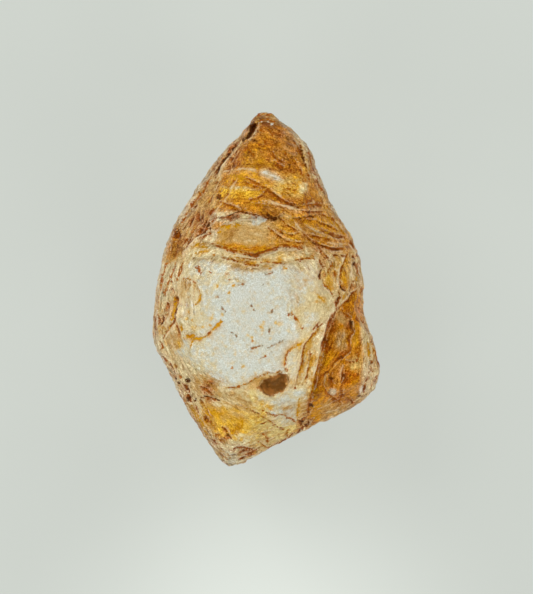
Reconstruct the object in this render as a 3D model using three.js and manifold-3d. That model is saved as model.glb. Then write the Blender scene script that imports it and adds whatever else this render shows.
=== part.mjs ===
// A rough imperial topaz as it comes out of the ground: one broken and partly worn crystal
// that tapers to a blunt tip. +Y runs to the tip, +X is the side with the amber lobe, and
// +Z is the side with the pale cleavage face. It lies on a flat seat at z = 0.
import * as THREE from "three";
import { mergeVertices } from "three/addons/utils/BufferGeometryUtils.js";
import Module from "manifold-3d";

const wasm = await Module();
wasm.setup();

// DRIVING DIMENSIONS, in millimetres

const PALE_FACE_HEIGHT = 14.5; // the pale cleavage face above the seat
const CROWN_HEIGHT = 16.3; // the amber slope above the seat, 8 mm north of the middle
const TERRACE_STEP = 0.6; // from the lens-shaped terrace down to the cream band
const BAND_STEP = 0.35; // from the cream band down to the pale face
const FAN_STEP = 0.35; // each step of the fan of ledges on the right shoulder
const LOBE_DROP = 1.4; // from the pale face down to the amber lobe beside it
const RIM_STEP = 0.4; // from the lobe's inner lens down to its outer rim
const FLAKE_STEP = 0.3; // each flake beside the main step
const WINDOW_DEPTH = 0.7; // of the sharp-edged brown pit
const BELLY_SPARE = 1.1; // how far the rounded body reaches below the seat before it is cut flat
const SECTION_POINTS = 28; // points around each cross-section
const STATION_STEP = 1.05; // between cross-sections along the length
const FULLNESS = 2.5; // of the cross-sections: 2 is an ellipse, and more is squarer
const END_STEP = 0.32; // from a tip to the first cross-section
const LUMP = 0.045; // how uneven the rounded body is, as a share of its height
const FAR = 20; // past the stone on every side

// The edges as seen from above, from the tip to the foot: [y, x].
const RIGHT_EDGE = [
  [17.9, -0.1],
  [17.2, 1.25],
  [16.4, 2.0],
  [14.6, 4.15],
  [13.5, 4.6],
  [11.8, 5.1],
  [10.3, 5.85],
  [8.6, 6.45],
  [7.2, 7.3],
  [5.6, 8.5],
  [3.8, 9.2],
  [1.6, 9.6],
  [-0.6, 9.85],
  [-1.55, 9.6],
  [-3.5, 10.1],
  [-5.4, 10.95],
  [-7.85, 11.4],
  [-9.55, 11.05],
  [-11.1, 9.7],
  [-12.2, 7.8],
  [-13.7, 4.4],
  [-15.0, 1.95],
  [-16.7, -1.2],
  [-17.55, -2.6],
  [-17.85, -3.3],
];
const LEFT_EDGE = [
  [17.9, -0.1],
  [17.6, -0.95],
  [17.0, -1.55],
  [15.4, -2.4],
  [14.95, -3.35],
  [12.5, -5.3],
  [9.6, -7.25],
  [6.45, -9.2],
  [3.55, -10.25],
  [0.85, -10.85],
  [-2.05, -11.25],
  [-4.2, -11.35],
  [-5.65, -11.1],
  [-7.85, -9.8],
  [-10.75, -8.45],
  [-13.7, -6.75],
  [-16.6, -4.7],
  [-17.55, -4.1],
  [-17.85, -3.3],
];

// Heights along the length, [y, z]: the widest line on each side, the back and the belly.
const RIGHT_GIRDLE = [
  [17.9, 8.6],
  [13, 8.9],
  [8, 8.0],
  [2, 7.6],
  [-1.5, 6.4],
  [-7, 7.3],
  [-12, 5.9],
  [-17.85, 6.2],
];
const LEFT_GIRDLE = [
  [17.9, 8.6],
  [14, 7.8],
  [8, 6.6],
  [2, 7.2],
  [-5, 5.6],
  [-10, 6.6],
  [-17.85, 6.2],
];
const BACK = [
  [17.9, 8.6],
  [17.0, 11.0],
  [14.5, 13.8],
  [11, 16.2],
  [7, 17.6],
  [0, 17.2],
  [-7, 16.6],
  [-12, 14.6],
  [-16, 10.4],
  [-17.85, 6.2],
];
const BELLY = [
  [17.9, 8.6],
  [17.0, 6.6],
  [14, 3.9],
  [9, 0.7],
  [4, -BELLY_SPARE],
  [-6, -BELLY_SPARE],
  [-11, 0.3],
  [-15, 2.7],
  [-17.85, 6.2],
];

const MATERIAL = new THREE.MeshStandardMaterial({
  color: 0xcb9a4e,
  roughness: 0.42,
  metalness: 0,
});

// SOLIDS

// A closed geometry as a solid that can be joined and cut.
function solidFrom(geometry) {
  geometry.deleteAttribute("normal");
  geometry.deleteAttribute("uv");
  const merged = mergeVertices(geometry, 1e-3);
  return new wasm.Manifold(
    new wasm.Mesh({
      numProp: 3,
      vertProperties: merged.attributes.position.array,
      triVerts: new Uint32Array(merged.index.array),
    }),
  );
}

// A solid back as a geometry.
function geometryFrom(solid) {
  const mesh = solid.getMesh();
  const geometry = new THREE.BufferGeometry();
  geometry.setAttribute("position", new THREE.BufferAttribute(mesh.vertProperties, 3));
  geometry.setIndex(new THREE.BufferAttribute(mesh.triVerts, 1));
  return geometry;
}

// THE ROUNDED BODY, before any face is broken off it

// The value at one place of a list of [place, value] pairs in falling order.
function along(list, place) {
  let i = 1;
  while (i < list.length - 1 && place < list[i][0]) i += 1;
  const [fromPlace, fromValue] = list[i - 1];
  const [toPlace, toValue] = list[i];
  const share = (fromPlace - place) / (fromPlace - toPlace);
  return fromValue + (toValue - fromValue) * Math.min(1, Math.max(0, share));
}

// A sine or cosine made fuller, with its sign kept.
function fuller(value) {
  return Math.sign(value) * Math.abs(value) ** (2 / FULLNESS);
}

// One point of the body, by its place along the length and its angle around it.
function bodyPoint(y, angle) {
  const left = along(LEFT_EDGE, y);
  const right = along(RIGHT_EDGE, y);
  const across = fuller(Math.cos(angle));
  const up = fuller(Math.sin(angle));
  const girdle = THREE.MathUtils.lerp(along(LEFT_GIRDLE, y), along(RIGHT_GIRDLE, y), (across + 1) / 2);
  const reach = up > 0 ? along(BACK, y) - girdle : girdle - along(BELLY, y);
  const lump = 1 + LUMP * (Math.sin(0.62 * y + 2 * angle) + Math.sin(1.3 * y - 3 * angle + 1));
  return new THREE.Vector3(
    (left + right) / 2 + ((right - left) / 2) * across,
    y,
    girdle + reach * up * lump,
  );
}

function roundedBody() {
  const [tipY, tipX] = LEFT_EDGE[0];
  const [footY, footX] = LEFT_EDGE[LEFT_EDGE.length - 1];
  const stations = [];
  for (let y = tipY - END_STEP; y > footY + END_STEP; y -= STATION_STEP) {
    stations.push(y);
  }
  stations.push(footY + END_STEP / 2);
  const points = [new THREE.Vector3(tipX, tipY, along(LEFT_GIRDLE, tipY))];
  for (const y of stations) {
    for (let i = 0; i < SECTION_POINTS; i += 1) {
      points.push(bodyPoint(y, (2 * Math.PI * i) / SECTION_POINTS));
    }
  }
  points.push(new THREE.Vector3(footX, footY, along(LEFT_GIRDLE, footY)));
  const faces = [];
  const foot = points.length - 1;
  const lastRing = foot - SECTION_POINTS;
  for (let i = 0; i < SECTION_POINTS; i += 1) {
    const next = (i + 1) % SECTION_POINTS;
    faces.push(0, 1 + next, 1 + i);
    for (let near = 1; near < lastRing; near += SECTION_POINTS) {
      const far = near + SECTION_POINTS;
      faces.push(near + i, near + next, far + i);
      faces.push(near + next, far + next, far + i);
    }
    faces.push(lastRing + i, lastRing + next, foot);
  }
  const geometry = new THREE.BufferGeometry().setFromPoints(points);
  geometry.setIndex(faces);
  return solidFrom(geometry);
}

// FACES BROKEN OFF, each a plane by one of its points and the way it faces

const FACES = [
  // the amber slope from the crown to the tip, and the blunt end above it
  { point: [0, 8, CROWN_HEIGHT], facing: [0.04, 0.5, 0.86] },
  { point: [0.2, 16.3, 11.0], facing: [0.1, 0.78, 0.62] },
  // the steep flank on the left, in three lengths
  { point: [-4.9, 9.4, 15.0], facing: [-0.75, 0.5, 0.44] },
  { point: [-8.5, 1.5, 13.9], facing: [-0.9, 0.16, 0.42] },
  { point: [-8.3, -6.0, 13.2], facing: [-0.8, -0.3, 0.52] },
  // the two slopes down to the foot, and the bevels below them
  { point: [-3.0, -9.3, PALE_FACE_HEIGHT], facing: [-0.3, -0.42, 0.86] },
  { point: [2.5, -9.8, PALE_FACE_HEIGHT - 0.4], facing: [0.26, -0.5, 0.83] },
  { point: [-7.3, -10.6, 10.6], facing: [-0.76, -0.44, 0.48] },
  { point: [4.6, -12.2, 10.2], facing: [0.4, -0.8, 0.45] },
  // down the right side, under the amber slope, the shoulder and the lobe
  { point: [3.9, 13.0, 13.0], facing: [0.8, 0.29, 0.52] },
  { point: [8.7, 3.5, 10.6], facing: [0.86, 0.26, 0.44] },
  { point: [10.2, -6.4, 10.3], facing: [0.88, -0.06, 0.47] },
  // around the tip
  { point: [-2.1, 15.9, 5.7], facing: [-0.66, 0.5, -0.56] },
  { point: [2.4, 15.0, 6.6], facing: [0.6, 0.5, -0.62] },
  { point: [-3.3, 14.0, 10.6], facing: [-0.72, 0.5, 0.48] },
  // the sides below the girdle
  { point: [-10.3, 1.0, 3.4], facing: [-0.88, 0.2, -0.43] },
  { point: [-9.2, -7.4, 3.0], facing: [-0.78, -0.4, -0.48] },
  { point: [-5.6, 9.6, 3.2], facing: [-0.72, 0.48, -0.5] },
  { point: [9.6, -6.4, 2.9], facing: [0.82, -0.1, -0.56] },
  { point: [8.1, 3.6, 3.4], facing: [0.84, 0.3, -0.45] },
  { point: [3.6, -12.0, 3.3], facing: [0.36, -0.76, -0.54] },
  // the seat, and the faces that rise from it
  { point: [0, 0, 0], facing: [0, 0, -1] },
  { point: [-5.8, -1.0, 0], facing: [-0.5, 0.1, -0.86] },
  { point: [5.6, 3.0, 0], facing: [0.55, 0.15, -0.82] },
  { point: [6.0, -6.0, 0], facing: [0.42, -0.25, -0.87] },
  { point: [0.5, 7.6, 0], facing: [-0.08, 0.42, -0.9] },
  { point: [-1.5, -9.4, 0], facing: [-0.16, -0.45, -0.88] },
];

// The block of space past a plane, on the side that the plane faces.
function pastPlane({ point, facing }) {
  const block = new THREE.BoxGeometry(4 * FAR, 4 * FAR, 2 * FAR);
  block.translate(0, 0, FAR);
  const up = new THREE.Vector3(0, 0, 1);
  block.applyQuaternion(
    new THREE.Quaternion().setFromUnitVectors(up, new THREE.Vector3(...facing).normalize()),
  );
  block.translate(...point);
  return solidFrom(block);
}

// TERRACES: the lips of the steps, as lines seen from above from left to right or down: [x, y]

const AMBER_LIP = [
  [-5.6, 11.7],
  [-2.6, 12.15],
  [-0.5, 11.5],
  [1.7, 10.75],
  [4.2, 10.6],
];
const SHELF_LIP = [
  [-5.8, 8.9],
  [-4.4, 8.75],
  [-2.6, 8.05],
  [-0.8, 9.05],
  [1.2, 9.15],
  [2.6, 8.35],
  [5.4, 8.8],
];
const CROWN_LIP = [
  [-7.4, 4.9],
  [-6.1, 5.3],
  [-5.5, 6.15],
  [-4.6, 7.05],
  [-3.0, 7.65],
  [-2.2, 7.25],
  [-0.4, 7.45],
  [0.5, 7.05],
  [1.4, 7.35],
  [2.1, 7.45],
  [2.9, 7.15],
  [5.9, 7.35],
  [7.4, 7.3],
];
const LENS_LIP = [
  [-7.6, 4.45],
  [-5.5, 4.75],
  [-4.1, 4.15],
  [-2.5, 3.65],
  [-1.2, 3.45],
  [0.4, 3.95],
  [1.1, 4.15],
  [2.2, 4.35],
  [3.1, 4.05],
  [4.7, 4.15],
  [5.4, 3.95],
  [6.4, 2.75],
];
const BAND_LIP = [
  [-8.1, 3.2],
  [-6.2, 3.3],
  [-4.6, 3.55],
  [-2.9, 2.95],
  [-0.8, 2.5],
  [2.4, 2.85],
  [4.8, 3.15],
];
const SHOULDER_LIP = [
  [2.1, 7.45],
  [2.9, 7.15],
  [5.9, 7.35],
  [7.4, 7.3],
];
const APEX_LIP = [
  [2.1, 7.45],
  [2.7, 6.9],
  [3.55, 5.75],
  [5.4, 4.0],
  [6.4, 2.75],
];
const UPPER_FAN_LIP = [
  [2.9, 6.75],
  [3.7, 6.45],
  [5.2, 5.85],
  [7.2, 5.25],
  [9.6, 5.5],
];
const LOWER_FAN_LIP = [
  [3.9, 5.3],
  [5.2, 4.5],
  [6.5, 4.05],
  [8.2, 4.05],
  [9.9, 4.3],
];
const MAIN_STEP = [
  [5.3, 3.05],
  [5.4, 1.35],
  [6.9, -0.35],
  [7.1, -1.85],
  [6.6, -2.85],
  [6.1, -3.85],
  [5.7, -5.05],
  [5.4, -6.05],
  [5.2, -7.45],
  [4.6, -9.25],
  [4.4, -10.45],
  [4.3, -13.4],
];
const LOBE_TOP = [
  [7.1, -1.85],
  [8.3, -0.9],
  [9.35, 0.25],
  [FAR, 1.5],
];
const LOBE_RIM = [
  [7.6, -2.15],
  [8.4, -2.75],
  [8.7, -4.05],
  [8.3, -4.85],
  [8.3, -5.95],
  [7.7, -6.55],
  [6.9, -7.25],
  [5.9, -8.25],
  [5.7, -9.05],
  [6.2, -9.95],
];
const OUTER_FLAKE = [
  [5.5, -3.15],
  [4.9, -4.05],
  [4.3, -4.85],
  [3.8, -5.55],
  [3.55, -6.75],
  [3.3, -8.25],
  [3.0, -9.45],
];
const INNER_FLAKE = [
  [4.6, -5.2],
  [4.3, -6.05],
  [4.3, -7.25],
  [3.9, -8.75],
];
// on the right side, seen from the right: [y, z]
const RIGHT_LEDGE = [
  [-11.5, 6.6],
  [-8.0, 5.6],
  [-5.0, 6.0],
  [-1.5, 5.2],
  [1.5, 6.1],
  [5.0, 5.6],
  [9.0, 6.8],
];
const RIGHT_FOOT_LEDGE = [
  [-10.0, 3.4],
  [-6.5, 2.9],
  [-3.0, 3.6],
  [0.5, 3.1],
  [3.0, 3.9],
];
// on the left side, seen from the left: [-y, z]
const LEFT_LEDGE = [
  [-11.0, 5.9],
  [-7.5, 5.0],
  [-4.0, 5.6],
  [-0.5, 4.7],
  [2.5, 5.0],
  [6.0, 4.2],
];
const LEFT_FLANK_LEDGE = [
  [-9.0, 12.2],
  [-6.0, 10.9],
  [-3.0, 11.4],
  [-0.5, 10.2],
  [2.5, 10.6],
];
// underneath, seen from below: [x, -y]
const UNDER_LEDGE = [
  [-6.5, -4.6],
  [-3.6, -5.9],
  [-0.8, -5.4],
  [1.9, -6.6],
  [5.5, -5.7],
];
const WINDOW = [
  [-0.85, -9.5],
  [-0.3, -8.85],
  [0.8, -8.75],
  [1.2, -8.25],
  [2.1, -8.35],
  [2.3, -9.35],
  [1.5, -10.25],
  [0.4, -10.55],
  [-0.2, -10.05],
];

// The tops of the terraces: [height where x and y are 0, rise per mm of x, rise per mm of y].
const SLOPE_PLANE = [CROWN_HEIGHT + 4.65, -0.0465, -0.581];
const LENS_PLANE = [PALE_FACE_HEIGHT + BAND_STEP + TERRACE_STEP - 0.2, 0.02, 0.06];
const BAND_PLANE = [PALE_FACE_HEIGHT + BAND_STEP, -0.01, 0.02];
const PALE_PLANE = [PALE_FACE_HEIGHT, -0.012, 0.012];
const SHOULDER_PLANE = [19.53, -0.76, -0.127];
const LOBE_PLANE = [PALE_FACE_HEIGHT - LOBE_DROP + 1.5, -0.27, 0.02];
const WINDOW_PLANE = [PALE_FACE_HEIGHT - WINDOW_DEPTH, 0.06, 0.03];
const RIGHT_PLANE = [8.4, -0.229, 0.1];
const RIGHT_FOOT_PLANE = [7.6, -0.2, 0.3];
const LEFT_PLANE = [9.4, 0.22, 0.1];
const LEFT_FLANK_PLANE = [14.9, 0.178, -0.467];
const UNDER_PLANE = [0.55, 0.02, 0.16];

// A plane moved straight up.
function raised([height, riseX, riseY], by) {
  return [height + by, riseX, riseY];
}

// The four sides that terraces are drawn on: where each side's right, up and outward point.
const TOP = new THREE.Matrix4();
const RIGHT = new THREE.Matrix4().makeBasis(
  new THREE.Vector3(0, 1, 0),
  new THREE.Vector3(0, 0, 1),
  new THREE.Vector3(1, 0, 0),
);
const LEFT = new THREE.Matrix4().makeBasis(
  new THREE.Vector3(0, -1, 0),
  new THREE.Vector3(0, 0, 1),
  new THREE.Vector3(-1, 0, 0),
);
const UNDER = new THREE.Matrix4().makeBasis(
  new THREE.Vector3(1, 0, 0),
  new THREE.Vector3(0, -1, 0),
  new THREE.Vector3(0, 0, -1),
);

// The space outside a sloping plane, over an outline drawn on one side of the stone.
function above(plane, outline, side = TOP) {
  const shape = new THREE.Shape(outline.map(([x, y]) => new THREE.Vector2(x, y)));
  const geometry = new THREE.ExtrudeGeometry(shape, { depth: FAR, bevelEnabled: false });
  const { position } = geometry.attributes;
  const [height, riseX, riseY] = plane;
  for (let i = 0; i < position.count; i += 1) {
    const rise = height + riseX * position.getX(i) + riseY * position.getY(i);
    position.setZ(i, position.getZ(i) + rise);
  }
  geometry.applyMatrix4(side);
  return solidFrom(geometry);
}

// The outline between a line from left to right and the far edge to its south or north.
function beyond(line, edgeY) {
  const first = line[0];
  const last = line[line.length - 1];
  return [[-FAR, first[1]], ...line, [FAR, last[1]], [FAR, edgeY], [-FAR, edgeY]];
}

// The outline between a line and the far corner to its lower right.
function lowerRight(line) {
  const first = line[0];
  const last = line[line.length - 1];
  return [...line, [FAR, last[1]], [FAR, -FAR], [first[0], -FAR]];
}

const TERRACES = [
  above(raised(SLOPE_PLANE, -0.35), beyond(AMBER_LIP, FAR)),
  above(raised(SLOPE_PLANE, -0.4), beyond(SHELF_LIP, -FAR)),
  above(LENS_PLANE, beyond(CROWN_LIP, -FAR)),
  above(SHOULDER_PLANE, lowerRight(SHOULDER_LIP)),
  above(raised(SHOULDER_PLANE, -FAN_STEP), lowerRight(APEX_LIP)),
  above(raised(SHOULDER_PLANE, -2 * FAN_STEP), lowerRight(UPPER_FAN_LIP)),
  above(raised(SHOULDER_PLANE, -3 * FAN_STEP), lowerRight(LOWER_FAN_LIP)),
  above(BAND_PLANE, beyond(LENS_LIP, -FAR)),
  above(PALE_PLANE, [[-FAR, 3.2], ...BAND_LIP, ...MAIN_STEP, [4.3, -FAR], [-FAR, -FAR]]),
  above(LOBE_PLANE, [...MAIN_STEP.slice(4), [4.3, -FAR], [FAR, -FAR], ...LOBE_TOP.toReversed()]),
  above(raised(LOBE_PLANE, -RIM_STEP), [...LOBE_RIM, [6.2, -FAR], [FAR, -FAR], [FAR, -2.1]]),
  above(raised(PALE_PLANE, -FLAKE_STEP), [...OUTER_FLAKE, ...MAIN_STEP.slice(4, 10).toReversed()]),
  above(raised(PALE_PLANE, -2 * FLAKE_STEP), [...INNER_FLAKE, ...MAIN_STEP.slice(6, 10).toReversed()]),
  above(WINDOW_PLANE, WINDOW),
  above(RIGHT_PLANE, beyond(RIGHT_LEDGE, -FAR), RIGHT),
  above(RIGHT_FOOT_PLANE, beyond(RIGHT_FOOT_LEDGE, -FAR), RIGHT),
  above(LEFT_PLANE, beyond(LEFT_LEDGE, -FAR), LEFT),
  above(LEFT_FLANK_PLANE, beyond(LEFT_FLANK_LEDGE, FAR), LEFT),
  above(UNDER_PLANE, beyond(UNDER_LEDGE, -FAR), UNDER),
];

// GROOVES, each by the line of its floor as seen from above, its width and its depth

const GROOVES = [
  // the dark gouge beside the tip
  {
    line: [[-0.8, 17.0], [-1.1, 16.6], [-1.35, 16.0], [-1.8, 15.3], [-2.5, 14.4]],
    width: 0.9,
    depth: 0.8,
  },
  // inside the right shoulder
  {
    line: [[3.3, 15.0], [3.5, 14.2], [3.6, 13.1], [3.9, 12.0], [4.3, 11.2]],
    width: 0.6,
    depth: 0.45,
  },
  // down the left flank
  {
    line: [[-8.9, 0.4], [-9.1, -0.45], [-8.9, -1.35], [-9.1, -2.95], [-9.9, -4.2]],
    width: 0.6,
    depth: 0.5,
  },
  {
    line: [[-9.8, -0.9], [-9.7, -1.6], [-9.65, -2.15], [-10.5, -3.1]],
    width: 0.45,
    depth: 0.35,
  },
  // along the foot of the main step
  {
    line: [[7.3, -1.3], [6.8, -2.9], [6.3, -3.9], [5.9, -5.1], [5.4, -7.5], [4.8, -9.3], [4.6, -11.0]],
    width: 0.5,
    depth: 0.4,
  },
  // the crack across the foot
  {
    line: [[-4.2, -15.9], [-3.4, -15.65], [-2.4, -15.45], [-1.0, -15.95], [-0.5, -16.3]],
    width: 0.4,
    depth: 0.35,
  },
];

// A ditch with a pointed floor that follows the surface and runs out at both ends.
function ditch(surface, { line, width, depth }) {
  const ray = new THREE.Raycaster();
  const down = new THREE.Vector3(0, 0, -1);
  const points = line.map(([x, y], i) => {
    ray.set(new THREE.Vector3(x, y, 2 * FAR), down);
    const atEnd = i === 0 || i === line.length - 1;
    const { z } = ray.intersectObject(surface)[0].point;
    return new THREE.Vector3(x, y, z + (atEnd ? 1.2 * depth : 0));
  });
  const section = new THREE.Shape([
    new THREE.Vector2(-depth, 0),
    new THREE.Vector2(0, -width / 2),
    new THREE.Vector2(depth, 0),
    new THREE.Vector2(0, width / 2),
  ]);
  const route = new THREE.CatmullRomCurve3(points);
  return solidFrom(
    new THREE.ExtrudeGeometry(section, { steps: 3 * line.length, extrudePath: route, bevelEnabled: false }),
  );
}

// THE STONE

const broken = FACES.reduce((solid, face) => solid.subtract(pastPlane(face)), roundedBody());
const terraced = TERRACES.reduce((solid, cut) => solid.subtract(cut), broken);
const surface = new THREE.Mesh(geometryFrom(terraced), MATERIAL);
const grooved = GROOVES.reduce((solid, groove) => solid.subtract(ditch(surface, groove)), terraced);

const stone = geometryFrom(grooved);
stone.computeBoundingBox();
const middle = stone.boundingBox.getCenter(new THREE.Vector3());
stone.translate(-middle.x, -middle.y, -stone.boundingBox.min.z);

const crystal = new THREE.Mesh(stone, MATERIAL);
crystal.name = "topaz_crystal";

const topaz = new THREE.Group();
topaz.add(crystal);

export default topaz;
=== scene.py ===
"""A rough imperial topaz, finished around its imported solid: fine ledges and cracks, iron stains,
a pale cleavage face, and the table and light it is looked at on. Run as a script in Blender."""

import itertools
import math
from collections import namedtuple

import bmesh
import bpy
import numpy as np
from bpy.props import FloatProperty, FloatVectorProperty, IntProperty, PointerProperty
from mathutils import Matrix, Vector
from mathutils.bvhtree import BVHTree


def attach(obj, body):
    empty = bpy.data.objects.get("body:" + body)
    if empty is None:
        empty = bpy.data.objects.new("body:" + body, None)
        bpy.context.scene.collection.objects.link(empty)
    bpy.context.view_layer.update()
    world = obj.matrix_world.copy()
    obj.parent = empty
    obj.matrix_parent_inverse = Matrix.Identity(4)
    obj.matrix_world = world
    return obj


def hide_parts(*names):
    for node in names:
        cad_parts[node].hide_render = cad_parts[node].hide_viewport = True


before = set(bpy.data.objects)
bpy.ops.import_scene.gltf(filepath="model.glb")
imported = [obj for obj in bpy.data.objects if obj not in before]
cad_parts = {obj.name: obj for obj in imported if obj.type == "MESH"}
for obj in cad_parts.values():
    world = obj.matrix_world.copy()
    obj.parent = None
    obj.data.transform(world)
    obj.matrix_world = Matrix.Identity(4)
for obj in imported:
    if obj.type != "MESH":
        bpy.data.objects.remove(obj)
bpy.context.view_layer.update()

bl_info = {
    "name": "Rough Imperial Topaz",
    "version": (1, 0, 0),
    "blender": (4, 5, 0),
    "location": "3D View > Sidebar > Topaz",
    "description": "Builds the surface, stains and light of a rough imperial topaz",
    "category": "Object",
}

NODE = "topaz_crystal"
MM = 0.001

# FORMS SEEN FROM ABOVE
# All are in millimetres, x to the right and y towards the tip, as the source of the solid is drawn.
# Zones: stain, share, softness of the border, outline. Pockets: kind, darkness, outline.
# Marks: style, share of the style's width, line; the rim lies on the left of the way in which the
# line is drawn and the glow on the right. Flecks: stain, share, radius, places.
# Strokes: place, direction in which the fine strokes lie there in degrees from x, wear.

DRAWN_MIDDLE = (0.022, 0.106)  # where the middle of the solid's box lies in the drawings

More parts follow.
